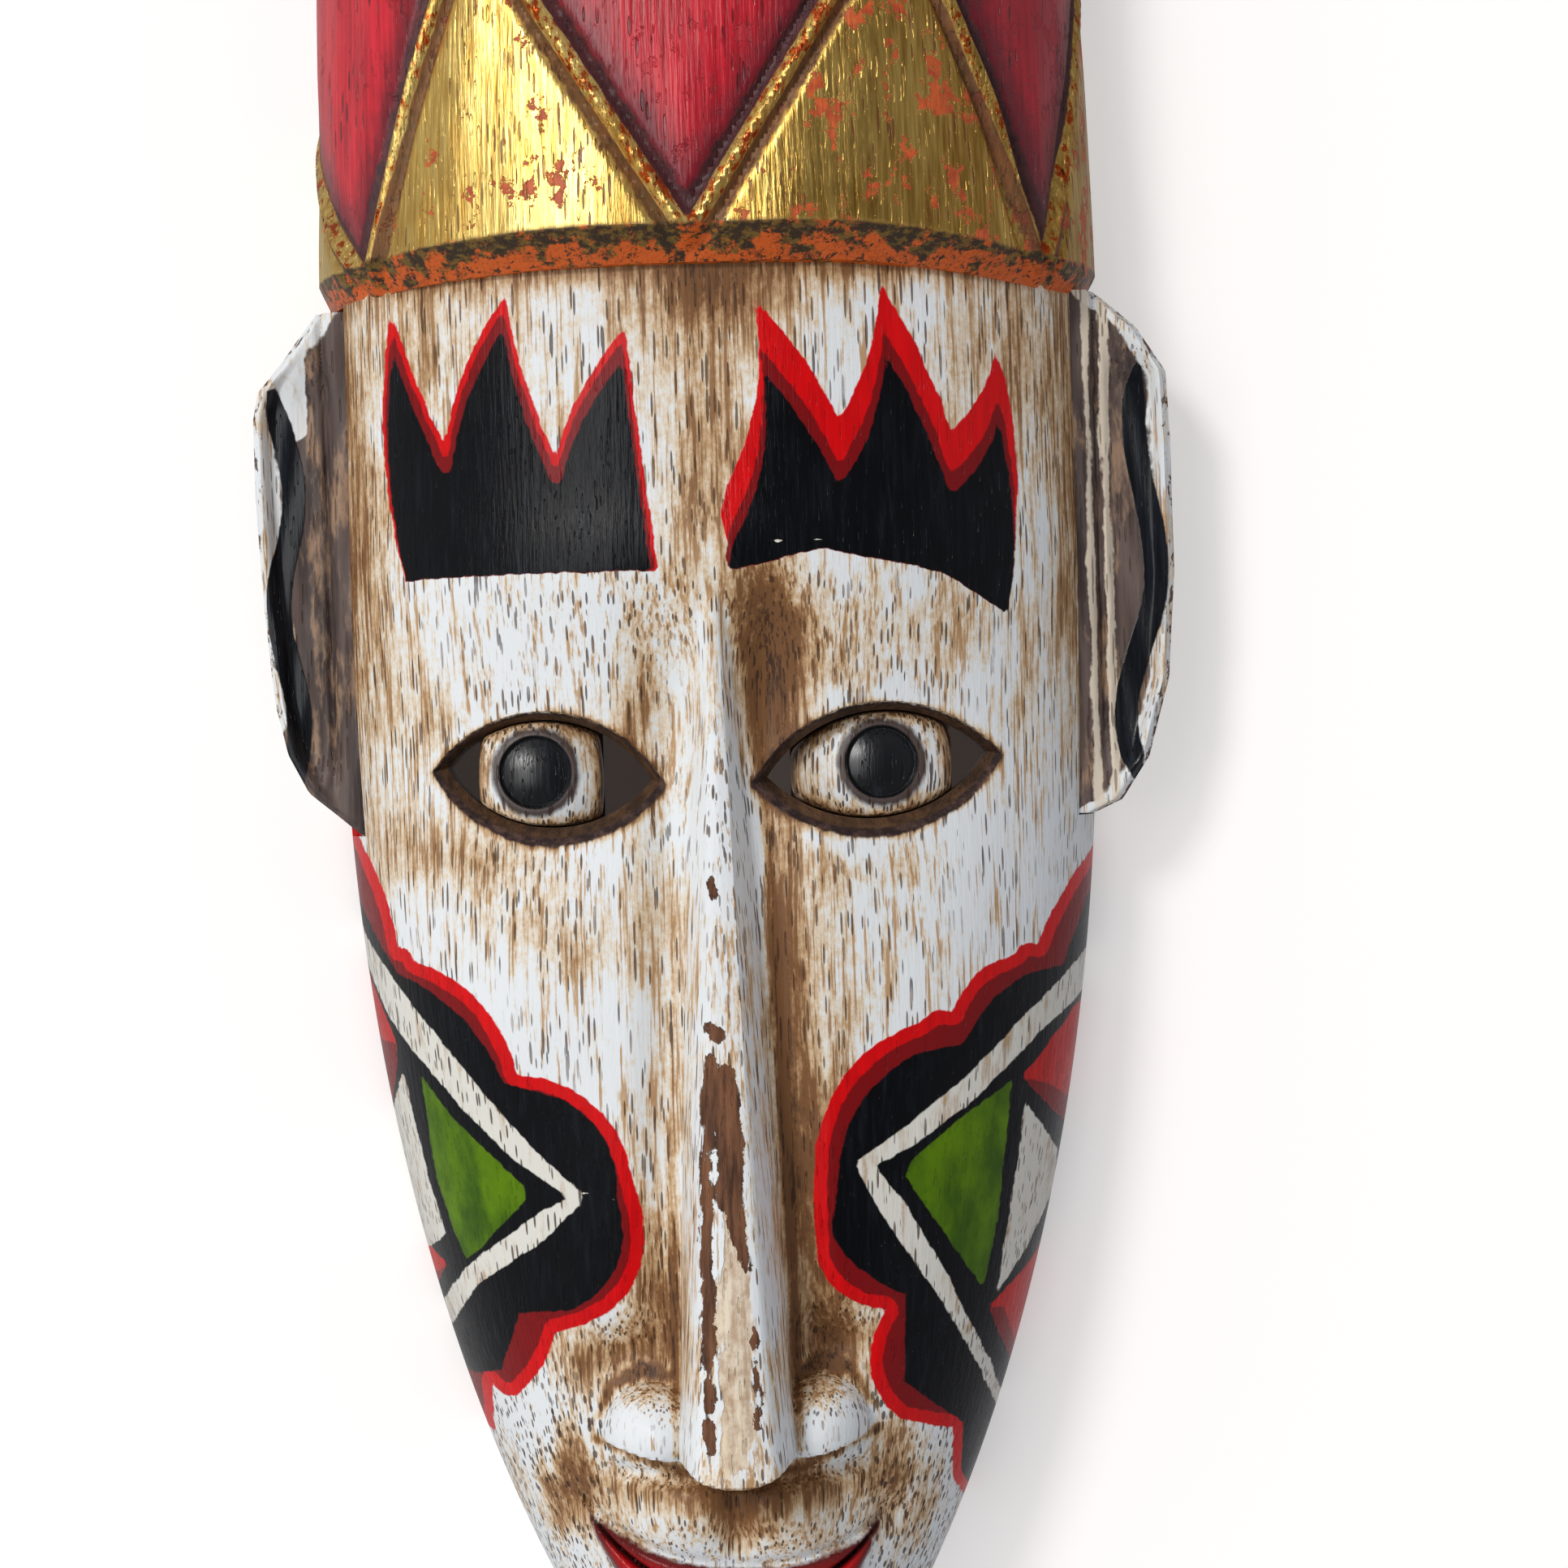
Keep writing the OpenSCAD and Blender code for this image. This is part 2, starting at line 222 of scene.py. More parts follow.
def alongPath(x, z, path):
    # distance inside a painted stroke: path points are (x, z, half width)
    best = np.full(x.shape, -1e9)
    for (ax, az, ar), (bx, bz, br) in zip(path, path[1:]):
        dx, dz = bx - ax, bz - az
        t = np.clip(((x - ax) * dx + (z - az) * dz) / (dx * dx + dz * dz), 0, 1)
        away = np.hypot(x - ax - t * dx, z - az - t * dz)
        best = np.maximum(best, ar + (br - ar) * t - away)
    return best


# finishes


def tint(*levels):
    # a colour given the way it looks, 0 to 255
    seen = [level / 255 for level in levels]
    return tuple(v / 12.92 if v <= 0.04045 else ((v + 0.055) / 1.055) ** 2.4 for v in seen)


class Finish:
    # one material's nodes, with short names for what these finishes use
    def __init__(self, name, roughness=0.5, metallic=0.0, specular=0.5):
        self.material = bpy.data.materials.new(name)
        self.material.use_nodes = True
        self.tree = self.material.node_tree
        self.tree.nodes.clear()
        self.shader = self.add("ShaderNodeBsdfPrincipled")
        self.shader.inputs["Roughness"].default_value = roughness
        self.shader.inputs["Metallic"].default_value = metallic
        self.shader.inputs["Specular IOR Level"].default_value = specular
        out = self.add("ShaderNodeOutputMaterial")
        self.tree.links.new(self.shader.outputs[0], out.inputs["Surface"])
        self.place = self.add("ShaderNodeTexCoord").outputs["Object"]

    def add(self, kind, **settings):
        node = self.tree.nodes.new(kind)
        for key, value in settings.items():
            setattr(node, key, value)
        return node

    def feed(self, socket, value):
        if isinstance(value, bpy.types.NodeSocket):
            self.tree.links.new(value, socket)
        elif socket.type == "RGBA":
            socket.default_value = (*value, 1)
        else:
            socket.default_value = value

    def field(self, name):
        return self.add("ShaderNodeAttribute", attribute_name=name).outputs["Fac"]

    def math(self, operation, a, b=0.0, clamp=False):
        node = self.add("ShaderNodeMath", operation=operation, use_clamp=clamp)
        self.feed(node.inputs[0], a)
        self.feed(node.inputs[1], b)
        return node.outputs[0]

    def plus(self, *values):
        total = values[0]
        for value in values[1:]:
            total = self.math("ADD", total, value)
        return total

    def times(self, *values):
        total = values[0]
        for value in values[1:]:
            total = self.math("MULTIPLY", total, value)
        return total

    def most(self, a, b):
        return self.math("MAXIMUM", a, b)

    def flatBack(self):
        # 1 on the sawn back that lies against the wall, which was never painted
        node = self.add("ShaderNodeSeparateXYZ")
        self.feed(node.inputs[0], self.place)
        return self.rise(node.outputs[1], -0.0003, -0.0001)

    def rise(self, value, start, stop, low=0.0, high=1.0):
        node = self.add("ShaderNodeMapRange", interpolation_type="SMOOTHSTEP")
        for socket, number in zip(node.inputs, (value, start, stop, low, high)):
            self.feed(socket, number)
        return node.outputs[0]

    def over(self, amount, first, second):
        node = self.add("ShaderNodeMix", data_type="RGBA")
        self.feed(node.inputs[0], amount)
        self.feed(node.inputs[6], first)
        self.feed(node.inputs[7], second)
        return node.outputs[2]

    def between(self, amount, first, second):
        node = self.add("ShaderNodeMix", data_type="FLOAT")
        self.feed(node.inputs[0], amount)
        self.feed(node.inputs[2], first)
        self.feed(node.inputs[3], second)
        return node.outputs[0]

    def shades(self, value, stops):
        node = self.add("ShaderNodeValToRGB")
        ramp = node.color_ramp
        while len(ramp.elements) < len(stops):
            ramp.elements.new(0.5)
        for element, (at, colour) in zip(ramp.elements, stops):
            element.position = at
            element.color = (*colour, 1)
        self.feed(node.inputs[0], value)
        return node.outputs[0]

    def stretched(self, size, along, shift=0.0):
        node = self.add("ShaderNodeMapping")
        node.inputs["Scale"].default_value = (1000 / size, 1000 / size, 1000 / size / along)
        node.inputs["Location"].default_value = (shift, shift * 1.7, shift * 0.6)
        self.feed(node.inputs["Vector"], self.place)
        return node.outputs[0]

    def noise(self, size, along=1.0, detail=3.0, rough=0.55, shift=0.0):
        node = self.add("ShaderNodeTexNoise")
        node.inputs["Scale"].default_value = 1
        node.inputs["Detail"].default_value = detail
        node.inputs["Roughness"].default_value = rough
        self.feed(node.inputs["Vector"], self.stretched(size, along, shift))
        return self.math("SUBTRACT", node.outputs[0], 0.5)

    def dashes(self, size, along, width, shift=0.0):
        # short pores along the grain: 1 in a pore and 0 outside it
        node = self.add("ShaderNodeTexVoronoi")
        node.inputs["Scale"].default_value = 1
        self.feed(node.inputs["Vector"], self.stretched(size, along, shift))
        return self.rise(node.outputs["Distance"], width, width * 0.75)

    def height(self, value, depth, under=None):
        # depth in millimetres of relief for a value from 0 to 1
        node = self.add("ShaderNodeBump")
        node.inputs["Strength"].default_value = 1
        node.inputs["Distance"].default_value = depth / 1000
        self.feed(node.inputs["Height"], value)
        if under is not None:
            self.feed(node.inputs["Normal"], under)
        return node.outputs[0]

    def done(self, colour, roughness=None, normal=None, metallic=None):
        self.feed(self.shader.inputs["Base Color"], colour)
        if roughness is not None:
            self.feed(self.shader.inputs["Roughness"], roughness)
        if normal is not None:
            self.feed(self.shader.inputs["Normal"], normal)
        if metallic is not None:
            self.feed(self.shader.inputs["Metallic"], metallic)
        return self.material


# face shape

face = {
    "height": 276,
    "halfWidth": 69.5,
    "depth": 58,
    "widestZ": 215,
    "deepestZ": 200,
    "squareness": 2.3,
    "frontWall": 12,
    "sideWall": 10,
    "hollowFloor": 26,
}

nose = {
    "topZ": 221,
    "length": 150,
    "topDepth": 58.4,
    "rise": 16.4,
    "foot": 70.4,
    "wings": [(-15, 75.6, 8.4, 9.4, 9.0), (14.6, 76, 8.2, 9.6, 9.0)],  # x, z, radii and height
}

eyes = {
    "x": (-29.3, 27.6),
    "z": 189,
    "half": (20.6, 22),
    "rise": 11.5,
    "tilt": 5,
    "rim": 2.2,  # width of the bevel on the lids
    "rimShift": 1.0,  # the upper lid is narrower and the lower one wider by this much
    "rimDepth": 3.2,
    "ballX": (-30.7, 26.5),
    "ballWidth": (21.4, 28),
    "pupilX": (-31.5, 28.3),
    "pupilR": 6.3,
    "front": -51,
    "seat": -42.4,
    "back": -35,
}

joints = {
    "pegZ": (205, 250),
    "pegHole": 2.6,  # radius
    "dowelPlace": (45.5, -36.9),
    "dowelHole": 4.1,  # radius
}

mouth = {"x": -1.5, "half": 26, "top": 52.6, "lift": 8.6, "upper": 5.4, "lower": 15.5}


def faceW(z):
    z = np.asarray(z, float)
    under = np.clip((face["widestZ"] - z) / face["widestZ"], 0, 1)
    return face["halfWidth"] * np.maximum(0.004, 1 - under**2.1) ** 0.714


def faceD(z):
    z = np.asarray(z, float)
    under = np.clip((face["deepestZ"] - z) / face["deepestZ"], 0, 1)
    return face["depth"] * np.maximum(0.004, 1 - under**4) ** 0.417


def sectionDepth(share):
    n = face["squareness"]
    return np.maximum(0, 1 - np.clip(np.abs(share), 0, 1) ** n) ** (1 / n)


def ridgeHalf(z):
    t = np.clip((nose["topZ"] - z) / nose["length"], 0, 1)
    return 0.5 + 4.3 * t**0.8


def footHalf(z):
    t = np.clip((nose["topZ"] - z) / nose["length"], 0, 1)
    return 1.2 + 8.9 * t**0.6


def lipLines(x):
    off = x - mouth["x"]
    k = np.clip(np.abs(off) / mouth["half"], 0, 1)
    top = mouth["top"] + mouth["lift"] * k**2.6 - 0.07 * off
    part = top - mouth["upper"] * (1 - k**2) ** 0.8
    low = top - mouth["lower"] * (1 - k**2) ** 0.7
    return top, part, low, k


def noseRise(x, z):
    t = np.clip((nose["topZ"] - z) / nose["length"], 0, 1.05)
    ridge, foot = ridgeHalf(z), footHalf(z)
    tall = np.maximum(0, nose["topDepth"] + nose["rise"] * t**0.96 - faceD(z)) * smooth(0, 0.03, t)
    away = np.clip((np.abs(x) - ridge) / (foot - ridge), 0, 1)
    crown = 1 - 0.03 * np.clip(np.abs(x) / ridge, 0, 1) ** 2
    under = nose["foot"] - 1 + 0.035 * np.minimum(np.abs(x), 9) ** 2 + 2.4 * smooth(11, 24, np.abs(x))
    gate = smooth(under - 0.8, under + 0.8, z)
    out = tall * crown * (1 - away ** (1 + 1.6 * t**3)) ** (1.12 - 0.5 * t**3) * gate
    for cx, cz, rx, rz, tallness in nose["wings"]:
        tallZ = np.where(z > cz, rz, 0.8 * rz)
        q = ((x - cx) / rx) ** 2 + ((z - cz) / tallZ) ** 2
        lobe = tallness * np.clip(1 - q, 0, 1) ** 0.62 * smooth(under - 0.3, under + 0.5, z)
        out = (out**2.6 + lobe**2.6) ** (1 / 2.6)
    return out


def faceRelief(x, z):
    foot = footHalf(z)
    out = noseRise(x, z)
    alongNose = smooth(74, 96, z) * (1 - smooth(196, 222, z))
    out = out - 2.6 * np.exp(-(((np.abs(x) - foot - 3.2) / 4.2) ** 2)) * alongNose
    out = out - 3.2 * (hill(x, z, -19, 90.5, 6, 5) + hill(x, z, 17.5, 91, 6, 5))
    for side in (-1, 1):
        out = out - 2.4 * hill(x, z, side * 28, 194, 24, 19)
        out = out - 2.2 * hill(x, z, side * 10, 203, 6, 15)
    out = out + 1.2 * hill(x, z, 0, 226, 60, 9)
    out = out - 1.6 * hill(x, z, 9, 214, 5, 11)
    out = out + 1.6 * (hill(x, z, -40, 150, 16, 22) + hill(x, z, 38, 148, 16, 22))
    # muzzle, with the groove under the nose
    out = out + 3.4 * (hill(x, z, -10, 62, 9, 8) + hill(x, z, 9, 61.5, 9, 8))
    out = out - 2.2 * np.exp(-(((x + 0.6) / 2.6) ** 2)) * smooth(53, 58, z) * (1 - smooth(69, 71, z))
    underNose = z - 67.6 - 0.09 * np.abs(x)
    out = out - 1.7 * np.exp(-((underNose / 1.5) ** 2)) * (1 - smooth(19, 25, np.abs(x)))
    # lips, their parting and the creases at their corners
    top, part, low, k = lipLines(x)
    live = k < 1
    upper = np.clip((z - part) / np.maximum(top - part, 0.05), 0, 1)
    lower = np.clip((part - z) / np.maximum(part - low, 0.05), 0, 1)
    full = (1 - k**4) * live
    out = out + 2.2 * np.sin(np.pi * upper) ** 0.7 * full + 3.6 * np.sin(np.pi * lower) ** 0.6 * full
    out = out - 1.7 * np.exp(-(((z - part) / 0.8) ** 2)) * full
    out = out - 1.5 * np.exp(-(((z - top - 0.6) / 1.1) ** 2)) * (0.25 + 0.75 * k) * live
    out = out - 1.6 * (hill(x, z, -28.5, 63.5, 3, 3.5) + hill(x, z, 25.5, 60, 3, 3.5))
    out = out - 2.4 * hill(x, z, -0.5, 33, 20, 4) + 3.2 * hill(x, z, -0.5, 19, 13, 10)
    # the uneven surface that knives and sanding left
    wave = np.sin(x / 7.3 + z / 31) * np.sin(z / 11.7 - x / 23 + 1.3) + 0.6 * np.sin(x / 3.9 - z / 17 + 0.4)
    out = out + 0.16 * wave
    return out


def frontY(x, z):
    share = np.abs(x) / faceW(z)
    return -(faceD(z) * sectionDepth(share) + faceRelief(x, z) * smooth(1.0, 0.9, share))


def faceRow(z):
    # one level of the face: close steps over the nose, then even ones, then a turned edge
    w = float(faceW(z))
    frontShare, edgeCount = 0.88, 32
    ridge = min(float(ridgeHalf(z)), 0.12 * w)
    foot = min(float(footHalf(z)), 0.32 * w)
    n = face["squareness"]
    turn = np.arcsin(frontShare ** (n / 2))
    middle = np.concatenate([
        np.linspace(0, ridge, 6)[:-1],
        np.linspace(ridge, foot, 13)[:-1],
        np.linspace(foot, frontShare * w, 72)[:-1],
    ])
    edge = np.linspace(turn, np.pi / 2, edgeCount)
    edgeX = w * np.sin(edge) ** (2 / n)
    xs = np.concatenate([middle, edgeX])
    full = np.concatenate([-xs[::-1], xs[1:]])
    ys = frontY(full, np.full(full.shape, float(z)))
    steep = float(faceD(z)) * np.cos(edge) ** (2 / n)
    side = faceRelief(edgeX, np.full(edgeX.shape, float(z))) * smooth(1.0, 0.9, edgeX / w)
    other = faceRelief(-edgeX, np.full(edgeX.shape, float(z))) * smooth(1.0, 0.9, edgeX / w)
    ys[-edgeCount:] = -(steep + side)
    ys[:edgeCount] = -(steep + other)[::-1]
    return np.stack([full, np.minimum(ys, 0), np.full(full.shape, float(z))], axis=1)


def hollowRings():
    rings = []
    top = face["height"] + 1
    for i in range(19):
        z = face["hollowFloor"] + (top - face["hollowFloor"]) * (i / 18) ** 1.4
        share = min(1, (z - face["hollowFloor"]) / 34) ** 0.5
        w = 3 + (float(faceW(z)) - face["sideWall"] - 3) * share
        d = 6 + (float(faceD(z)) - face["frontWall"] - 6) * share
        turn = np.radians(np.linspace(-90, 90, 65))
        x = w * power(np.sin(turn), 2 / face["squareness"])
        y = -d * power(np.cos(turn), 2 / face["squareness"])
        ring = np.stack([x, y, np.full(x.shape, z)], axis=1)
        rings.append(np.vstack([ring, [[w, 1, z], [-w, 1, z]]]))
    return rings


def almond(eye, inset, shift=0.0, count=72):
    # outline of an eye opening, running from the left corner below to the right and back above
    half, rise = eyes["half"][eye], eyes["rise"]
    r = (half * half + rise * rise) / (2 * rise)
    off = r - rise
    radius = r - inset
    corner = math.sqrt(radius * radius - off * off)
    swing = math.asin(corner / radius)
    turn = np.linspace(-swing, swing, count + 1)[:-1]
    lower = np.stack([radius * np.sin(turn), off - radius * np.cos(turn)], axis=1)
    upper = np.stack([-radius * np.sin(turn), radius * np.cos(turn) - off], axis=1)
    ring = np.vstack([lower, upper])
    a = math.radians(eyes["tilt"]) * (1 if eye else -1)
    x = ring[:, 0] * math.cos(a) - ring[:, 1] * math.sin(a) + eyes["x"][eye]
    z = ring[:, 0] * math.sin(a) + ring[:, 1] * math.cos(a) + eyes["z"] + shift
    return x, z


def almondInside(x, z, eye):
    # distance inside an eye opening's outline
    half, rise = eyes["half"][eye], eyes["rise"]
    r = (half * half + rise * rise) / (2 * rise)
    off = r - rise
    a = -math.radians(eyes["tilt"]) * (1 if eye else -1)
    dx, dz = x - eyes["x"][eye], z - eyes["z"]
    u = dx * math.cos(a) - dz * math.sin(a)
    v = dx * math.sin(a) + dz * math.cos(a)
    return np.minimum(r - np.hypot(u, v - off), r - np.hypot(u, v + off))


def eyeCutter(eye):
    # bevelled lids, then straight through to the hollow
    rings = []
    rim, lower = eyes["rim"], eyes["rimShift"]
    steps = [(-0.6, 0, None), (-0.6, 0, -0.8), (rim, lower, eyes["rimDepth"]), (rim, lower, None)]
    for inset, shift, depth in steps:
        x, z = almond(eye, inset, shift)
        flat = -95.0 if not rings else -20.0
        y = np.full(x.shape, flat) if depth is None else frontY(x, z) + depth
        rings.append(np.stack([x, y, z], axis=1))
    # the rings run the other way round when they are stacked from front to back
    return loft("lids", [ring[::-1] for ring in rings])


def pegHoles(side, length):
    return [rod((side * 57, -18.5, z), (side, 0, 0), joints["pegHole"], length) for z in joints["pegZ"]]


def dowelHole(side, z):
    x, y = joints["dowelPlace"]
    return rod((side * x, y, z), (0, 0, 1), joints["dowelHole"], 25)


def makeFace():
    heights = np.concatenate([
        np.linspace(0, 1, 12)[:-1] ** 1.6 * 45,
        np.linspace(11, 45, 34)[:-1],
        np.linspace(45, 90, 92)[:-1],
        np.linspace(90, 175, 80)[:-1],
        np.linspace(175, 206, 38)[:-1],
        np.linspace(206, face["height"], 54),
    ])
    heights = np.unique(np.round(heights, 3))
    body = loft("carvedFace", [faceRow(z) for z in heights])
    tools = [loft("hollow", hollowRings()), eyeCutter(0), eyeCutter(1)]
    for side in (-1, 1):
        low, high = sorted((side * 62.5, side * 84))
        tools.append(boxBlock((low, -25.1, 179.9), (high, -11.9, 279)))
        tools += pegHoles(side, 20)
        tools.append(dowelHole(side, 257))
    combine(body, tools)
    return body


# painted outlines, (x, z) from the chin, and a third number bows the stretch that follows

brows = [
    {
        "flames": [(-55, 272, -0.5), (-45.5, 247, 2), (-34, 272, -1), (-26, 244, 1.5), (-13.5, 265.5),
                   (-9, 224), (-9, 205), (-53.5, 205), (-53.5, 224, 3)],
        "base": [(-54, 224.5), (-9, 224)],
        # how much lower the colour repeats the flames, and how far inside them it stays
        "dark": (1, 0.6),
        "black": (3.5, 1),
    },
    {
        "flames": [(8.5, 270, 1), (22.5, 249, -2), (30, 273, 1), (42, 247, -1.5), (50.5, 262, 3.5),
                   (50, 216), (50, 205), (5.5, 205), (5, 224, 0.5), (2, 233), (3, 238, -3)],
        "base": [(5, 224), (19, 227), (40, 222.5), (51, 215.5)],
        "dark": (6.5, 0.6),
        "black": (9.5, 1),
    },
]

cheeks = {
    "red": [
        [(-67, 182, 1.5), (-57.5, 160, 1), (-54.5, 158, 4), (-36, 138.5, 5.5), (-16.5, 119.5, 8),
         (-31, 93.5, 1), (-38.5, 81.5, 1), (-43.5, 82.5), (-44, 73), (-52, 70), (-80, 70), (-80, 190)],
        [(66.5, 173.5, -1), (55, 157.5, -1), (50.5, 156, -2), (39, 147, -1), (33.5, 145.5, -4),
         (15, 126, -0.5), (14.5, 105, -2), (26, 96, -4), (28, 76.5), (37.5, 73), (37.5, 63), (41, 55),
         (48, 62), (80, 62), (80, 185)],
    ],
    "black": [
        [(-69, 172), (-58, 155.5), (-55, 154.5, 2.5), (-38.5, 137), (-28, 134, 3), (-19.5, 117.5, 4.5),
         (-28, 97.5), (-37.5, 96.5), (-41.5, 85.5), (-52, 82), (-80, 82), (-80, 172)],
        [(65.5, 165), (60, 153.5), (53, 152.5, -1.5), (41, 141.5), (32, 140, -2.5), (19, 123),
         (17, 110, -1.5), (29.5, 98.5), (29, 83), (39.5, 73.5), (39, 64), (42, 56.5), (48, 62), (80, 62),
         (80, 176)],
    ],
    # the white chevrons are strokes: x, z and half width
    "chevron": [
        [(-69, 165, 1), (-58, 149, 2.8), (-46, 135.5, 2.6), (-36, 125, 2), (-26.5, 117.5, 1)],
        [(-27, 116.5, 1.2), (-35, 110.5, 2.2), (-46, 102.5, 1.8), (-51.5, 95, 1.8), (-53.5, 90, 1)],
        [(67, 153, 3), (54, 144, 2.2), (42, 133.5, 2), (31, 126, 1.8), (23, 121.5, 1.2)],
        [(23.5, 120.5, 1.4), (28.5, 112.5, 2.2), (36, 99.5, 1.6), (43.5, 84, 1), (48, 71, 0.8)],
    ],
    "leaf": [
        [(-54.5, 138.5), (-48.5, 130.5), (-35.5, 119), (-35.5, 116.5), (-47, 105, 0.5), (-52.5, 121)],
        [(49.5, 134, -0.5), (31, 121.5), (30, 119), (43.5, 97.5), (46.5, 109.5)],
    ],
    "white": [
        [(-58, 138), (-54, 119), (-51, 109), (-57, 104), (-70, 112)],
        [(52, 130), (59, 119.5), (58.5, 112), (50.5, 101), (46, 96), (50.5, 120.5)],
    ],
    "red2": [
        [(-72, 166), (-63, 151), (-59, 143), (-60, 136), (-64, 126), (-74, 140)],
        [(-58, 107.5), (-51.5, 103.5), (-54.5, 98), (-62, 92), (-66, 102)],
        [(62.5, 145.5), (51.5, 134.5), (61.5, 123), (70, 118), (74, 150)],
        [(57, 103), (44.5, 94), (50.5, 78.5), (66, 80), (66, 108)],
    ],
    "dark": [
        [(-63, 143), (-59, 143), (-60, 134), (-72, 124), (-72, 150)],
        [(51, 134.5), (55, 127), (70, 118), (70, 122), (56.5, 132.5)],
        [(44, 94), (46.5, 88), (50.5, 78.5), (52, 79), (47.5, 93)],
        [(-51, 103.5), (-55, 97), (-60, 92), (-57, 98.5)],
    ],
}


def flames(x, z, colour=None):
    # distance inside the flames over the eyes, for the red or for a colour that repeats them lower down
    best = np.full(x.shape, -1e9)
    for brow in brows:
        drop, inset = brow[colour] if colour else (0, 0)
        above = z - np.interp(x, *zip(*brow["base"]))
        best = np.maximum(best, np.minimum(inside(x, z + drop, brow["flames"]) - inset, above))
    return best


# where brown stain was rubbed in, and painted shade in the carved hollows, round the wings, at the mouth
# corners and under the brim: x, z, two radii and how strong
stainsAndShade = [
    (8.5, 214, 6, 13, 0.85), (0, 243, 9, 22, 0.36), (-5, 268, 14, 8, 0.3), (4, 271, 12, 5, 0.6),
    (-17.5, 90, 9, 6, 0.5), (17, 90.5, 9, 6, 0.5), (-13.5, 100, 5, 20, 0.7), (15.5, 104, 5, 26, 0.66),
    (-16.5, 76.8, 6, 4, -0.75), (16, 77.2, 6, 4, -0.75), (-26, 88, 5, 5, 0.4), (27, 90, 4, 5, 0.4),
    (-9, 150, 3.2, 44, 0.3), (10.5, 160, 3.6, 48, 0.55), (12, 130, 3.4, 32, 0.3), (-12, 203, 5, 10, 0.3),
    (10, 196, 5, 14, 0.65), (-0.6, 61.5, 6, 7, 0.85), (0, 66.4, 25, 3.2, 0.85), (-30, 63, 7, 7, 0.55),
    (27.5, 60, 7, 7, 0.55), (-28, 72, 4, 8, 0.5), (27, 73, 4, 8, 0.5), (-40, 176, 11, 6, 0.55),
    (-34, 163, 8, 7, 0.42), (-24, 158, 5, 5, 0.34), (-55, 178, 8, 8, 0.3), (-66, 230, 5, 50, 0.62),
    (66, 230, 5, 44, 0.55), (58, 205, 6, 16, 0.2), (-20, 60, 9, 6, 0.22), (12, 60, 8, 6, 0.25),
    (30, 84, 6, 5, 0.25),
    (0, 276, 72, 3, 0.7), (-48, 262, 12, 10, 0.25), (56, 258, 10, 16, 0.35), (0, 33, 26, 5, 0.6),
    (17, 140, 8, 34, 0.36), (-14.5, 186, 3.4, 40, 0.34), (-58, 215, 5, 50, 0.26), (15, 211, 8, 9, 0.42),
    (36, 213, 12, 6, 0.28), (-50, 200, 6, 10, 0.35), (52, 198, 5, 8, 0.25), (24, 206, 16, 4, 0.2),
    (26, 172, 12, 3, 0.25),
]

# painted shade, with brown stain, in the creases round the wings, under the nose and along its sides: x, z
# and half width
shadedCreases = [
    [(-24.5, 75, 0.3), (-17, 72.2, 0.6), (-10, 70.0, 0.7), (-4, 69.0, 0.5), (4, 69.0, 0.5), (10, 70.0, 0.7),
     (17, 72.4, 0.6), (24, 75.6, 0.3)],
    [(-24, 79, 0.1), (-21.5, 84.4, 0.4), (-16, 87, 0.8), (-11.5, 86, 0.6)],
    [(10.8, 86, 0.6), (15, 87.6, 0.9), (19.6, 86.4, 0.5), (23.4, 80, 0.1)],
    [(-10.6, 74, 0.1), (-10.4, 92, 0.3), (-9.6, 130, -0.2), (-8.6, 175, -1.3)],
    [(10.6, 74, 0.1), (10.4, 92, 0.5), (9.2, 160, 0.4), (6.6, 205, -0.4)],
]

# rubbed thin on the ridge of the nose, and two pale scratches
rubbedPath = [(0.6, 118, 1.8), (-0.2, 106, 3.0), (0.2, 92, 3.6), (0.2, 80, 3.4), (0.4, 74.5, 2.6)]
scratches = [
    [(9.8, 228, 0.15), (14, 229, 0.22), (19.5, 228.4, 0.1)],
    [(-29, 119, 0.05), (-23.8, 117.6, 0.16), (-17.5, 116.3, 0.1)],
]

# where the paint flaked off the ridge of the nose: x, z and half width along each flake
chips = [
    [(-2.2, 146.5, 0.9), (-1.2, 145, 1.2)],
    [(-1.5, 171, 0.45), (-1.5, 168.5, 0.45)],
    [(-2.6, 141, 1.2), (-2.9, 132, 1.3), (-3.5, 122, 0.9)],
    [(0.2, 139, 1.6), (0.4, 131, 2.1), (0.2, 120, 2.2), (1.4, 112, 1.4), (2.6, 106, 0.6)],
    [(-3.7, 126, 0.9), (-4, 112, 1.0), (-4.1, 98, 1.1), (-4.3, 84, 0.9)],
    [(-4.7, 80.5, 1.1), (-4.0, 76.5, 0.6)],
    [(3.6, 97, 0.5), (3.7, 93.6, 0.6)],
    [(3.7, 91, 0.3), (3.9, 86.5, 0.7), (4.0, 80.5, 0.5)],
]


def nearAny(x, z, paths):
    return np.max([alongPath(x, z, path) for path in paths], axis=0)


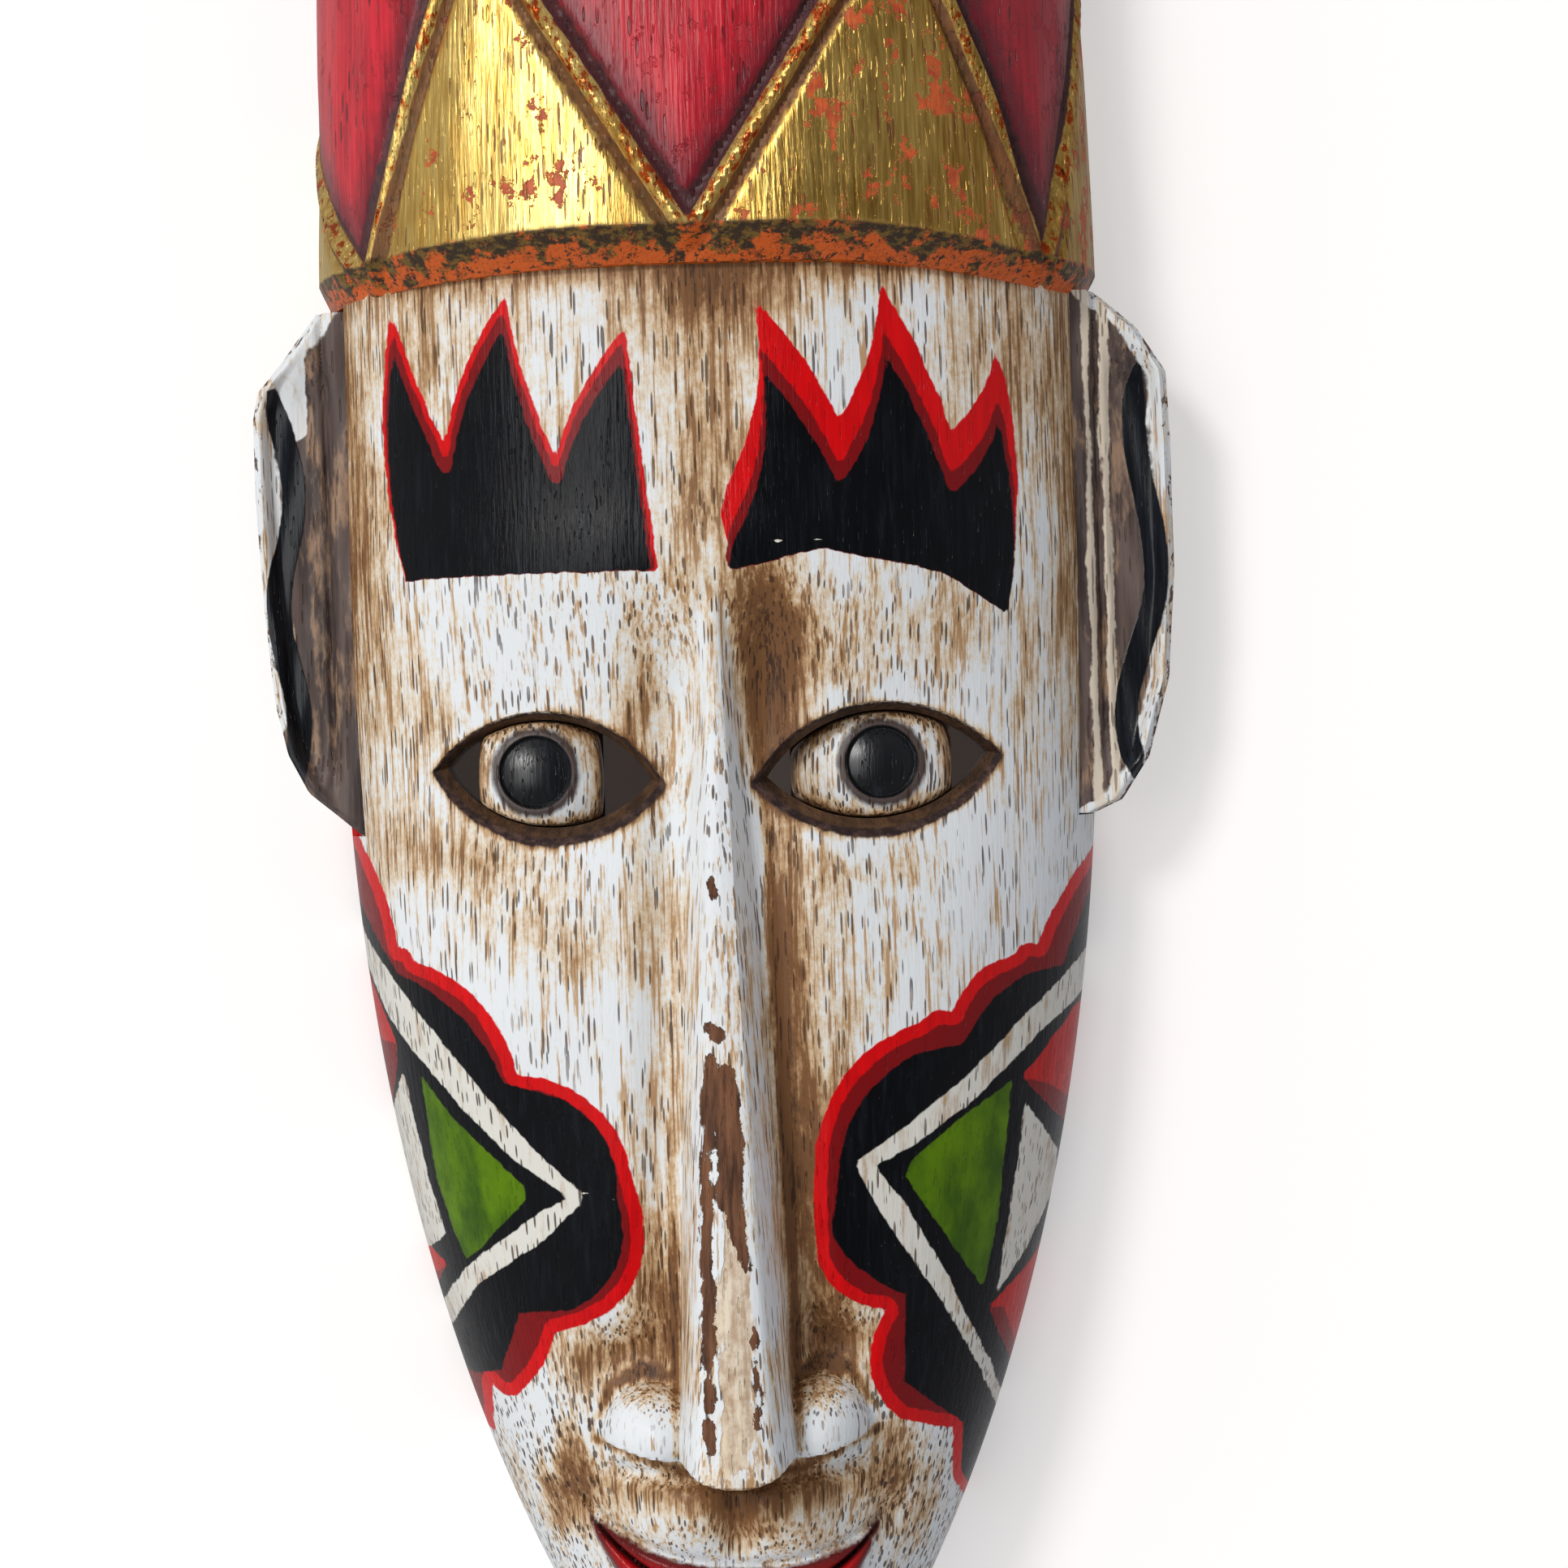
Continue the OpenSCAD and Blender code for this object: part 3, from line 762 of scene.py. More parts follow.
def paintFace(obj):
    p = pointsOf(obj)
    x, y, z = p.T
    depth = y - frontY(x, z)
    share = (np.abs(x) / faceW(z)) ** 2.3 + (np.abs(y) / faceD(z)) ** 2.3
    bare = np.minimum(smooth(1.2, 2.6, depth), smooth(0.97, 0.93, share))
    lid = np.max([almondInside(x, z, eye) for eye in (0, 1)], axis=0)
    stainAndShade = np.zeros(x.shape)
    # brown stain, with painted shade laid into the hollows and under the brim
    for cx, cz, rx, rz, amount in stainsAndShade:
        stainAndShade = stainAndShade + amount * hill(x, z, cx, cz, rx, rz)
    # painted shade: a soft brown band just outside each eye opening
    stainAndShade = stainAndShade + 0.5 * smooth(-1.2, 0.2, lid)
    # painted shade along the creases round the wings and under the nose
    stainAndShade = stainAndShade + 0.75 * smooth(-1.3, 0.5, nearAny(x, z, shadedCreases))
    top, part, low, k = lipLines(x)
    lips = np.where(k < 1, np.minimum(top - z, z - low) * np.sqrt(np.clip(1 - k, 0, 1)), -3)
    foot = footHalf(z)
    onRidge = smooth(foot + 1.5, foot - 1, np.abs(x)) * smooth(70, 74, z) * (1 - smooth(212, 222, z))
    chip = np.maximum(-9.0, nearAny(x, z, chips))
    store(obj, {
        "bare": bare,
        "lid": lid,
        "stainAndShade": stainAndShade,
        "lips": lips,
        "parting": np.where(k < 1, 1.6 - np.abs(z - part), -1),
        "browRed": flames(x, z),
        "browDark": flames(x, z, "dark"),
        "browBlack": flames(x, z, "black"),
        "cheekRed": insideAny(x, z, cheeks["red"]),
        "cheekBlack": insideAny(x, z, cheeks["black"]),
        "chevron": nearAny(x, z, cheeks["chevron"]),
        "leaf": insideAny(x, z, cheeks["leaf"]),
        "whitePanel": insideAny(x, z, cheeks["white"]),
        "redPanel": insideAny(x, z, cheeks["red2"]),
        "darkPanel": insideAny(x, z, cheeks["dark"]),
        "ridge": onRidge,
        "chip": chip,
        "worn": alongPath(x, z, rubbedPath),
        "scuff": nearAny(x, z, scratches),
        "forehead": smooth(205, 240, z),
        "jaw": smooth(94, 80, z) * smooth(16, 25, np.abs(x)) + smooth(34, 24, z),
    })


paintColours = {
    "white": tint(222, 226, 229),
    "cream": tint(218, 205, 186),
    "tan": tint(192, 160, 122),
    "brown": tint(134, 94, 58),
    "umber": tint(66, 44, 32),
    "lid": tint(46, 34, 33),
    "red": tint(214, 8, 14),
    "darkRed": tint(120, 14, 18),
    "black": tint(6, 7, 11),
    "green": tint(88, 124, 0),
    "greenDark": tint(52, 84, 6),
}


def oldWhite(b, stainAndShade):
    # white paint over wood, rubbed with brown stain and darkened by painted shade where the amount given
    # carries it: returns its colour, its pores and its streaks
    patch = b.noise(9, 2.2, detail=8, rough=0.7)
    streak = b.noise(1.3, 18, detail=4, rough=0.6, shift=3)
    fine = b.noise(0.45, 30, detail=3, shift=7)
    speck = b.noise(1.1, 1.5, detail=5, rough=0.75, shift=11)
    c = paintColours
    rubbing = b.plus(stainAndShade, b.times(patch, 1.5), b.times(streak, 1.1))
    wash = b.plus(rubbing, b.times(speck, 0.95), b.times(fine, 0.5))
    colour = b.shades(b.rise(wash, -0.12, 1.3, 0.0, 1.0), [
        (0.04, c["white"]), (0.18, c["cream"]), (0.42, c["tan"]), (0.78, c["brown"]), (1.0, c["umber"])])
    # fine dark lines along the grain, thicker where the stain and painted shade are
    lines = b.plus(b.times(streak, 1.7), b.times(fine, 2.0), b.times(stainAndShade, 0.3), b.times(patch, 0.8))
    lineBrown = b.over(b.rise(stainAndShade, 0.1, 0.6), tint(176, 138, 98), tint(120, 82, 50))
    colour = b.over(b.rise(lines, 0.16, 0.42, 0.0, 0.85), colour, lineBrown)
    crowd = b.rise(b.plus(b.noise(13, 1.4, detail=4, shift=19), b.times(stainAndShade, 0.3)), -0.2, 0.06)
    pores = b.most(b.dashes(1.25, 13, 0.21, shift=2), b.dashes(0.85, 11, 0.25, shift=9))
    return colour, b.times(pores, crowd), streak


def faceFinish():
    b = Finish("distemperedFace", specular=0.19)
    c = paintColours
    # the unsteady hand that every painted edge shares
    tremble = b.times(b.noise(1.6, detail=2, shift=4), 0.7)
    hand = b.plus(tremble, b.times(b.noise(6, detail=2, shift=5), 0.9))

    def painted(name, at=0.0, soft=0.16):
        return b.rise(b.plus(b.field(name), hand), at - soft, at + soft)

    # stain together with painted shade in the hollows, creases and under the brim
    stainAndShade = b.field("stainAndShade")
    base, pores, streak = oldWhite(b, b.plus(stainAndShade, b.times(b.field("forehead"), 0.17)))
    poreBrown = b.over(b.rise(b.noise(5), -0.1, 0.3), c["umber"], c["brown"])
    colour = b.over(b.times(pores, 0.85), base, poreBrown)
    dots = b.times(b.dashes(1.5, 2.1, 0.31, shift=14), b.field("jaw"))
    colour = b.over(b.times(dots, 0.85), colour, c["umber"])

    # wear on the ridge of the nose: rubbed patches, then chips down to dark wood
    worn = b.rise(b.plus(b.field("worn"), b.times(b.noise(4, 2.6, detail=5, shift=31), 9)), 0.4, 0.9)
    rubbing = b.rise(b.plus(streak, b.noise(1.8, 1.5, detail=6, rough=0.7, shift=29)), -0.25, 0.2)
    rubbed = b.over(rubbing, tint(172, 136, 98), tint(224, 208, 182))
    colour = b.over(b.times(worn, 0.85), colour, rubbed)
    ragged = b.times(b.noise(2.6, 1.9, detail=5, rough=0.7, shift=23), 4.2)
    chip = b.rise(b.plus(b.field("chip"), ragged), -0.06, 0.1)
    colour = b.over(chip, colour, b.over(b.rise(streak, -0.25, 0.25), tint(58, 36, 26), tint(128, 86, 60)))

    brush = b.noise(1.2, 10, detail=3, shift=41)
    red = b.over(b.rise(brush, -0.3, 0.3), tint(188, 6, 12), c["red"])
    # painted sheen: lighter bluish streaks along the brush strokes in the black
    black = b.over(b.rise(brush, -0.05, 0.45), c["black"], tint(24, 28, 36))
    green = b.over(b.rise(b.noise(7, 1.5, detail=4, shift=47), -0.2, 0.2), c["greenDark"], c["green"])
    dirt = b.rise(b.plus(streak, b.noise(5, 2, detail=5, rough=0.7, shift=49)), 0.0, 0.35)
    panelWhite = b.over(dirt, tint(214, 212, 204), tint(176, 148, 116))
    panelWhite = b.over(b.times(pores, 0.85), panelWhite, c["umber"])
    browArea = painted("browRed")
    cheekArea = painted("cheekRed")
    motif = b.most(browArea, cheekArea)
    colour = b.over(motif, colour, red)
    colour = b.over(b.times(cheekArea, painted("cheekRed", 2.3)), colour, c["darkRed"])
    colour = b.over(painted("browDark"), colour, c["darkRed"])
    colour = b.over(b.most(painted("browBlack"), painted("cheekBlack")), colour, black)
    panelRed = b.over(b.rise(brush, -0.3, 0.3), tint(160, 10, 10), tint(208, 22, 14))
    colour = b.over(painted("redPanel"), colour, panelRed)
    colour = b.over(b.times(painted("redPanel"), painted("darkPanel")), colour, c["darkRed"])
    colour = b.over(painted("leaf"), colour, green)
    colour = b.over(painted("whitePanel"), colour, panelWhite)
    colour = b.over(painted("chevron"), colour, panelWhite)
    nicks = b.times(b.rise(b.noise(2.2, 1.5, detail=5, rough=0.75, shift=61), 0.24, 0.27), motif)
    colour = b.over(b.times(nicks, 0.7), colour, tint(150, 130, 110))
    scuff = b.rise(b.plus(b.field("scuff"), b.times(b.noise(1.8, detail=4, shift=63), 1.1)), 0.02, 0.12)
    colour = b.over(scuff, colour, tint(216, 210, 200))

    lips = painted("lips", 0.1, 0.3)
    lipRed = b.over(b.rise(b.field("lips"), 0.2, 2.4), tint(92, 26, 26), tint(176, 18, 22))
    colour = b.over(lips, colour, lipRed)
    colour = b.over(b.times(lips, b.rise(b.field("parting"), 0.4, 1.4)), colour, tint(40, 14, 14))

    lid = b.rise(b.plus(b.field("lid"), b.times(hand, 0.8), b.times(streak, 0.9)), -0.3, 0.2)
    mottle = b.rise(b.noise(2.4, detail=5, rough=0.65, shift=71), -0.1, 0.25)
    lidBrown = b.over(mottle, c["lid"], tint(96, 72, 64))
    colour = b.over(lid, colour, lidBrown)

    bare = b.most(b.rise(b.field("bare"), 0.35, 0.5), b.flatBack())
    age = b.rise(b.plus(streak, b.noise(9, 3, shift=81)), -0.3, 0.35)
    colour = b.over(bare, colour, b.over(age, tint(52, 36, 25), tint(96, 68, 46)))

    gloss = b.between(b.most(motif, lips), 0.46, 0.27)
    gloss = b.plus(gloss, b.times(b.noise(8, detail=4, shift=91), 0.22), b.times(chip, 0.25))
    rough = b.between(b.most(bare, lid), gloss, 0.72)
    lost = b.most(chip, b.times(worn, 0.4))
    paint = b.plus(b.times(motif, 0.12), b.times(pores, -0.55), b.times(streak, 0.35), b.times(lost, -1.1))
    normal = b.height(b.plus(paint, b.times(b.noise(0.5, 12, shift=95), 0.25)), 0.35)
    return b.done(colour, roughness=rough, normal=normal)


carvedFace = makeFace()
finishShape(carvedFace, 38)
paintFace(carvedFace)
carvedFace.data.materials.clear()
carvedFace.data.materials.append(faceFinish())
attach(carvedFace, "mask")
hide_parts("carved_face")
print("face carved and painted:", len(carvedFace.data.polygons), "faces")


# crown

crown = {
    "height": 148,
    "step": 7.5,
    "margin": 1.7,
    "taper": 3.5,
    "bevel": 6,
    "middleZ": 340.5,  # height at which the two rows of triangles meet
    # angle from the front and height of the lower row's points
    "zigzag": [(-90, 312), (-54, 277), (-30, 340), (-1, 280), (27, 340), (55, 277), (82, 340), (90, 322)],
    "bead": 1.25,  # height of the carved bead
    "groove": 1.2,
    "hangLeft": 1.4,  # how far the brim hangs below its joint at the sides
    "hangRight": 3.2,
}


def dome(z):
    shoulder = face["height"] + 92
    over = np.clip((z - shoulder) / (face["height"] + crown["height"] - shoulder), 0, 1)
    return np.sqrt(np.maximum(0.03, 1 - over**2.4))


def crownTaper(z):
    return crown["taper"] * (z - face["height"]) / crown["height"]


def crownW(z):
    return (face["halfWidth"] + crown["margin"] - crownTaper(z)) * dome(z)


def crownD(z):
    return (face["depth"] + crown["step"] - crownTaper(z)) * (0.35 + 0.65 * dome(z))


def onSection(degrees, w, d):
    a = np.radians(degrees)
    n = face["squareness"]
    return w * power(np.sin(a), 2 / n), -d * power(np.cos(a), 2 / n)


fineTurn = np.linspace(-90, 90, 1441)
fineX, fineY = onSection(fineTurn, 70, 64)
fineArc = np.concatenate([[0], np.cumsum(np.hypot(np.diff(fineX), np.diff(fineY)))])
fineArc = fineArc - fineArc[-1] / 2


def arcAt(degrees):
    return np.interp(degrees, fineTurn, fineArc)


def zigzagHeight(degrees):
    turns, heights = zip(*crown["zigzag"])
    return np.interp(degrees, turns, heights)


def beadAway(degrees, z):
    # distance from the nearest carved bead, across the unrolled surface
    s = arcAt(degrees)
    best = np.full(np.shape(s), 1e9)
    for mirrored in (False, True):
        line = [(float(arcAt(a)), 2 * crown["middleZ"] - h if mirrored else h) for a, h in crown["zigzag"]]
        for (ax, az), (bx, bz) in zip(line, line[1:]):
            dx, dz = bx - ax, bz - az
            t = np.clip(((s - ax) * dx + (z - az) * dz) / (dx * dx + dz * dz), 0, 1)
            best = np.minimum(best, np.hypot(s - ax - t * dx, z - az - t * dz))
    return best


def crownRelief(degrees, z):
    away = beadAway(degrees, z)
    bead = crown["bead"] * np.exp(-((away / 1.05) ** 2))
    groove = crown["groove"] * np.exp(-(((away - 2.6) / 0.95) ** 2))
    pillow = 0.5 * smooth(4, 14, away)
    wave = 0.16 * np.sin(degrees / 3.1 + z / 19) * np.sin(z / 9.3 - degrees / 11)
    wave = wave + 0.1 * np.sin(degrees / 1.7 - z / 27)
    top = face["height"] + crown["height"]
    return (bead - groove + pillow + wave) * smooth(top, top - 8, z)


def brimHang(degrees):
    most = np.where(degrees < 0, crown["hangLeft"], crown["hangRight"])
    return most * smooth(12, 60, np.abs(degrees)) * (1 - 0.3 * smooth(76, 90, np.abs(degrees)))


def crownRow(z):
    turns = [np.linspace(-90, -70, 30), np.linspace(-70, 70, 270), np.linspace(70, 90, 30)]
    turns = np.unique(np.concatenate(turns))
    full = max(0.0, 1 - max(0.0, z - face["height"]) / crown["bevel"])
    w, d = float(crownW(z)), float(crownD(z))
    relief = crownRelief(turns, np.full(turns.shape, z))
    relief = relief * np.cos(np.radians(turns)) ** 0.3 * (1 - 0.6 * full)
    relief = np.where(np.abs(turns) > 89.9, 0, relief)
    x, y = onSection(turns, w + relief - 2.4 * full, d + relief - 6 * full)
    level = z - brimHang(turns) * (1 + 0.5 * smooth(276, 282, z)) * (1 - smooth(284, 306, z))
    return np.stack([x, np.minimum(y, 0), level], axis=1)


def crownHollow():
    rings = []
    for i in range(13):
        z = face["height"] - 1 + 87 * (1 - (1 - i / 12) ** 2)
        over = max(0.0, z - face["height"]) / 86.5
        arch = math.sqrt(max(0.02, 1 - over**4))
        w, d = 59.5 * (0.2 + 0.8 * arch), 46 * (0.3 + 0.7 * arch)
        x, y = onSection(np.linspace(-90, 90, 65), w, d)
        ring = np.stack([x, y, np.full(x.shape, z)], axis=1)
        rings.append(np.vstack([ring, [[w, 1, z], [-w, 1, z]]]))
    return rings


def makeCrown():
    low = face["height"] + 0.1
    top = face["height"] + crown["height"]
    heights = [np.linspace(low, 282, 11)[:-1], np.linspace(282, 404, 158)[:-1], np.linspace(404, top, 34)]
    body = loft("carvedCrown", [crownRow(float(z)) for z in np.concatenate(heights)])
    tools = [loft("hollow", crownHollow())]
    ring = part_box("hanger_ring")
    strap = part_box("hanger_strap")
    pocketLow = (strap[0].z - chinZ) * 1000 - 3
    pocketHigh = (ring[1].z - chinZ) * 1000 + 4
    tools.append(boxBlock((-13, -4.9, pocketLow), (13, 1, pocketHigh)))
    for side in (-1, 1):
        tools.append(dowelHole(side, 270))
    combine(body, tools)
    return body


def paintCrown(obj):
    p = pointsOf(obj)
    x, y, z = p.T
    w, d = crownW(z), crownD(z)
    n = face["squareness"]
    turn = np.degrees(np.arctan2(power(x / w, n / 2), power(np.maximum(-y, 0) / d, n / 2)))
    share = (np.abs(x) / w) ** n + (np.abs(y) / d) ** n
    hang = brimHang(turn)
    zig = zigzagHeight(turn)
    mirrored = 2 * crown["middleZ"] - zig
    store(obj, {
        "bare": np.maximum(smooth(0.8, 0.72, share), smooth(-0.6, -0.2, y) * smooth(0.95, 0.9, share)),
        "bead": beadAway(turn, z),
        "lozenge": np.minimum(z - zig, mirrored - z) * 0.46,
        "brim": z - face["height"] + hang * (1 + 0.5 * smooth(276, 281, z)),
        "turn": turn / 90,
    })


def goldLeaf(b):
    # burnished leaf over orange bole: returns its colour, its pores, where the bole shows and its grain
    grain = b.noise(0.7, 20, detail=4, shift=12)
    broad = b.noise(16, 2.2, detail=3, shift=17)
    # painted shade: the right half of the leaf is darker, and more bole shows through there
    side = b.rise(b.field("turn"), -0.12, 0.2)
    shine = b.rise(b.plus(b.times(grain, 1.2), broad), -0.45, 0.45)
    shadedLeafTone = b.rise(b.plus(b.times(grain, 1.6), broad), -0.5, 0.4)
    leaf = b.over(shine, tint(206, 152, 62), tint(255, 226, 140))
    leaf = b.over(b.times(side, 0.75), leaf, b.over(shadedLeafTone, tint(140, 98, 36), tint(228, 186, 98)))
    pores = b.most(b.dashes(1.2, 10, 0.2, shift=6), b.dashes(1.0, 12, 0.22, shift=16))
    pores = b.times(pores, b.rise(b.noise(12, 1.5, shift=20), -0.12, 0.1))
    lost = b.noise(5.5, 1.25, detail=7, rough=0.72, shift=27)
    bole = b.rise(b.plus(lost, b.times(side, 0.055)), 0.1, 0.125)
    return leaf, pores, bole, grain


def crownFinish():
    b = Finish("gildedCrown", specular=0.5)
    leaf, pores, bole, grain = goldLeaf(b)
    tremble = b.times(b.noise(2.2, detail=3, shift=33), 1.6)
    hand = b.plus(tremble, b.times(b.noise(7, detail=2, shift=35), 0.9))
    away = b.field("bead")
    bead = b.rise(b.plus(away, b.times(hand, 0.4)), 1.5, 1.15)
    inRed = b.rise(b.plus(b.field("lozenge"), b.times(hand, 0.4)), 0.9, 1.3)
    groove = b.times(b.rise(b.plus(away, hand), 4.1, 3.2), b.math("SUBTRACT", 1.0, bead))

    streak = b.noise(1.0, 26, detail=4, shift=44)
    wash = b.noise(13, 3, detail=3, shift=46)
    brushed = b.rise(b.plus(b.times(streak, 1.1), wash), -0.5, 0.4)
    crimson = b.over(brushed, tint(128, 8, 20), tint(218, 30, 50))
    # painted shade: the crimson darkens towards the right side
    crimson = b.over(b.times(b.rise(b.field("turn"), 0.0, 0.32), 0.55), crimson, tint(122, 12, 28))
    shade = b.rise(b.plus(away, b.times(hand, 2.4)), 11, 3.5)
    crimson = b.over(b.times(shade, 0.75), crimson, tint(70, 14, 28))
    redPores = b.times(b.dashes(1.4, 6, 0.25, shift=51), b.rise(b.noise(10, 1.4, shift=53), -0.1, 0.15))
    crimson = b.over(b.times(redPores, 0.8), crimson, tint(44, 12, 20))

    boleTone = b.rise(b.noise(2.4, detail=4, shift=57), -0.2, 0.2)
    orange = b.over(boleTone, tint(168, 62, 22), tint(206, 92, 34))
    gold = b.over(b.times(pores, 0.9), leaf, tint(96, 44, 24))
    gold = b.over(bole, gold, orange)
    goldGroove = b.over(b.rise(hand, -0.6, 0.6), tint(62, 30, 22), tint(120, 62, 30))
    gold = b.over(b.times(groove, 0.9), gold, goldGroove)
    rubbed = b.over(b.rise(b.noise(2.0, 1.8, detail=5, rough=0.7, shift=63), 0.0, 0.08), leaf, orange)
    dirty = b.rise(b.noise(1.5, 2.2, detail=5, rough=0.7, shift=65), 0.1, 0.16)
    rubbed = b.over(dirty, rubbed, tint(70, 40, 22))
    redGroove = b.over(b.rise(hand, -0.7, 0.7), tint(54, 18, 26), tint(84, 34, 36))
    red = b.over(groove, crimson, redGroove)
    colour = b.over(inRed, gold, red)
    colour = b.over(bead, colour, rubbed)

    # the bevel under the brim: bole and old varnish
    brim = b.rise(b.plus(b.field("brim"), b.times(hand, 0.5)), 6.8, 5.6)
    blot = b.noise(3.6, 0.8, detail=6, rough=0.7, shift=67)
    low = b.rise(b.field("brim"), 5.5, 1.0, -0.12, 0.1)
    varnish = b.rise(b.noise(1.8, 0.7, detail=4, shift=75), -0.05, 0.1)
    olive = b.over(varnish, tint(50, 34, 12), tint(112, 84, 22))
    bevel = b.over(b.rise(b.plus(b.times(blot, 1.5), low), -0.06, 0.06), olive, tint(204, 88, 12))
    bevel = b.over(b.rise(b.noise(1.3, detail=5, rough=0.7, shift=69), 0.06, 0.11), bevel, tint(58, 34, 12))
    colour = b.over(brim, colour, bevel)

    bare = b.most(b.rise(b.field("bare"), 0.4, 0.55), b.flatBack())
    raw = b.over(b.rise(streak, -0.3, 0.3), tint(70, 48, 32), tint(112, 80, 54))
    colour = b.over(bare, colour, raw)

    metal = b.math("SUBTRACT", 1.0, b.most(b.most(inRed, bole), b.times(groove, 0.75)))
    metal = b.most(metal, b.times(bead, 0.8))
    leafed = b.math("SUBTRACT", 1.0, b.most(brim, bare))
    metal = b.times(metal, leafed, b.math("SUBTRACT", 1.0, b.times(pores, 0.8)))
    smoothGold = b.plus(0.34, b.times(b.noise(3, 2, detail=4, shift=73), 0.3))
    rough = b.between(inRed, smoothGold, b.plus(0.3, b.times(streak, 0.25)))
    rough = b.between(b.most(groove, bole), rough, 0.5)
    rough = b.between(bare, rough, 0.75)
    pits = b.most(pores, redPores)
    lift = b.plus(b.times(grain, 0.6), b.times(pits, -0.8), b.times(bole, -0.35), b.times(streak, 0.3))
    return b.done(colour, roughness=rough, normal=b.height(lift, 0.3), metallic=metal)


carvedCrown = makeCrown()
finishShape(carvedCrown, 40)
paintCrown(carvedCrown)
carvedCrown.data.materials.clear()
carvedCrown.data.materials.append(crownFinish())
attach(carvedCrown, "mask")
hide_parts("carved_crown")
print("crown carved and gilded:", len(carvedCrown.data.polygons), "faces")


# ears

ears = {
    "inner": 62.6,
    "front": -25,
    "back": -12,
    "trough": 3.2,
    # height and reach of the outer edge, from the lower end up
    "left": [(180, 64.5), (188, 74), (195, 77.5), (204, 79.5), (221, 81), (242, 82), (255, 82), (260, 81),
             (266, 76), (274, 70)],
    "right": [(180, 66.5), (182.5, 72), (190, 77), (204, 81), (223, 82.5), (247, 82.5), (259, 82),
              (267, 77), (274, 69)],
    # the black wavy line: where it reaches farthest out, its length of wave, and its swing on each side
    "leftWave": {"z": 221, "reach": 78.4, "length": 41, "below": 1.6, "above": 1.6},
    "rightWave": {"z": 223.5, "reach": 79.3, "length": 54, "below": 3.1, "above": 1.6},
    "waveFrom": 187,
    "waveTo": 260,
    "waveHalf": 2.1,
}


def wavyLine(side):
    wave = ears["leftWave" if side < 0 else "rightWave"]
    path = []
    for z in np.linspace(ears["waveFrom"], ears["waveTo"], 25):
        swing = wave["below"] if z < wave["z"] else wave["above"]
        x = wave["reach"] - swing * (1 - math.cos(2 * math.pi * (z - wave["z"]) / wave["length"]))
        ends = min(1, (z - ears["waveFrom"] + 4) / 7, (ears["waveTo"] - z + 3) / 8)
        path.append((side * x, float(z), ears["waveHalf"] * ends))
    return path


def earReach(side, z):
    heights, reach = zip(*ears["left" if side < 0 else "right"])
    return np.interp(z, heights, reach)


def earFront(side, x, z):
    # depth of an ear's carved front, at a distance from the centre line
    reach = earReach(side, z)
    top = smooth(184, 198, z) * (1 - smooth(256, 268, z))
    trough = ears["trough"] * smooth(66.5, 71, x) * (1 - smooth(reach - 3.6, reach - 1.2, x)) * top
    seam = 1.1 * np.exp(-(((x - 69.2) / 0.55) ** 2)) * smooth(186, 200, z)
    ridge = 1.2 * np.exp(-(((x - 70.6) / 0.9) ** 2)) * top * (1 if side > 0 else 0.5)
    round_ = 2.2 * smooth(reach - 2.2, reach, x) ** 2
    return ears["front"] + trough + seam - ridge + round_ + 0.15 * np.sin(z / 4.7 + x)


def makeEar(side, name):
    rings = []
    heights = [np.linspace(180.2, 190, 14), np.linspace(190, 262, 76), np.linspace(262, 273.8, 16)]
    for z in np.unique(np.round(np.concatenate(heights), 3)):
        reach = float(earReach(side, z))
        x = np.linspace(ears["inner"], reach, 44)
        y = earFront(side, x, z)
        backX = [reach, reach - 0.6, ears["inner"]]
        backY = [ears["back"] - 1.5, ears["back"], ears["back"]]
        xs = side * np.concatenate([x, backX])
        ys = np.concatenate([y, backY])
        ring = np.stack([xs, ys, np.full(xs.shape, z)], axis=1)
        rings.append(ring if side > 0 else ring[::-1])
    body = loft(name, rings)
    combine(body, pegHoles(side, 17))
    p = pointsOf(body)
    x, y, z = np.abs(p[:, 0]), p[:, 1], p[:, 2]
    reach = earReach(side, z)
    depth = y - earFront(side, x, z)
    wave = alongPath(p[:, 0], z, wavyLine(side))
    patch = np.full(x.shape, -9.0)
    if side < 0:
        patch = inside(p[:, 0], z, [(-72, 274), (-72.5, 252), (-75, 251), (-78, 262.5), (-77.5, 265)])
    line = np.full(x.shape, -3.0)
    if side > 0:
        line = np.maximum(1.0 - np.abs(x - 70.8), 0.7 - np.abs(x - 67.6))
    store(body, {
        "wave": np.where(depth < 1.4, wave, -3),
        "rim": reach - x + 9 * (1 - smooth(192, 204, z)) * (side < 0),
        "patch": patch,
        "bare": smooth(ears["back"] - 1.2, ears["back"] - 0.3, y),
        "line": line,
    })
    return body


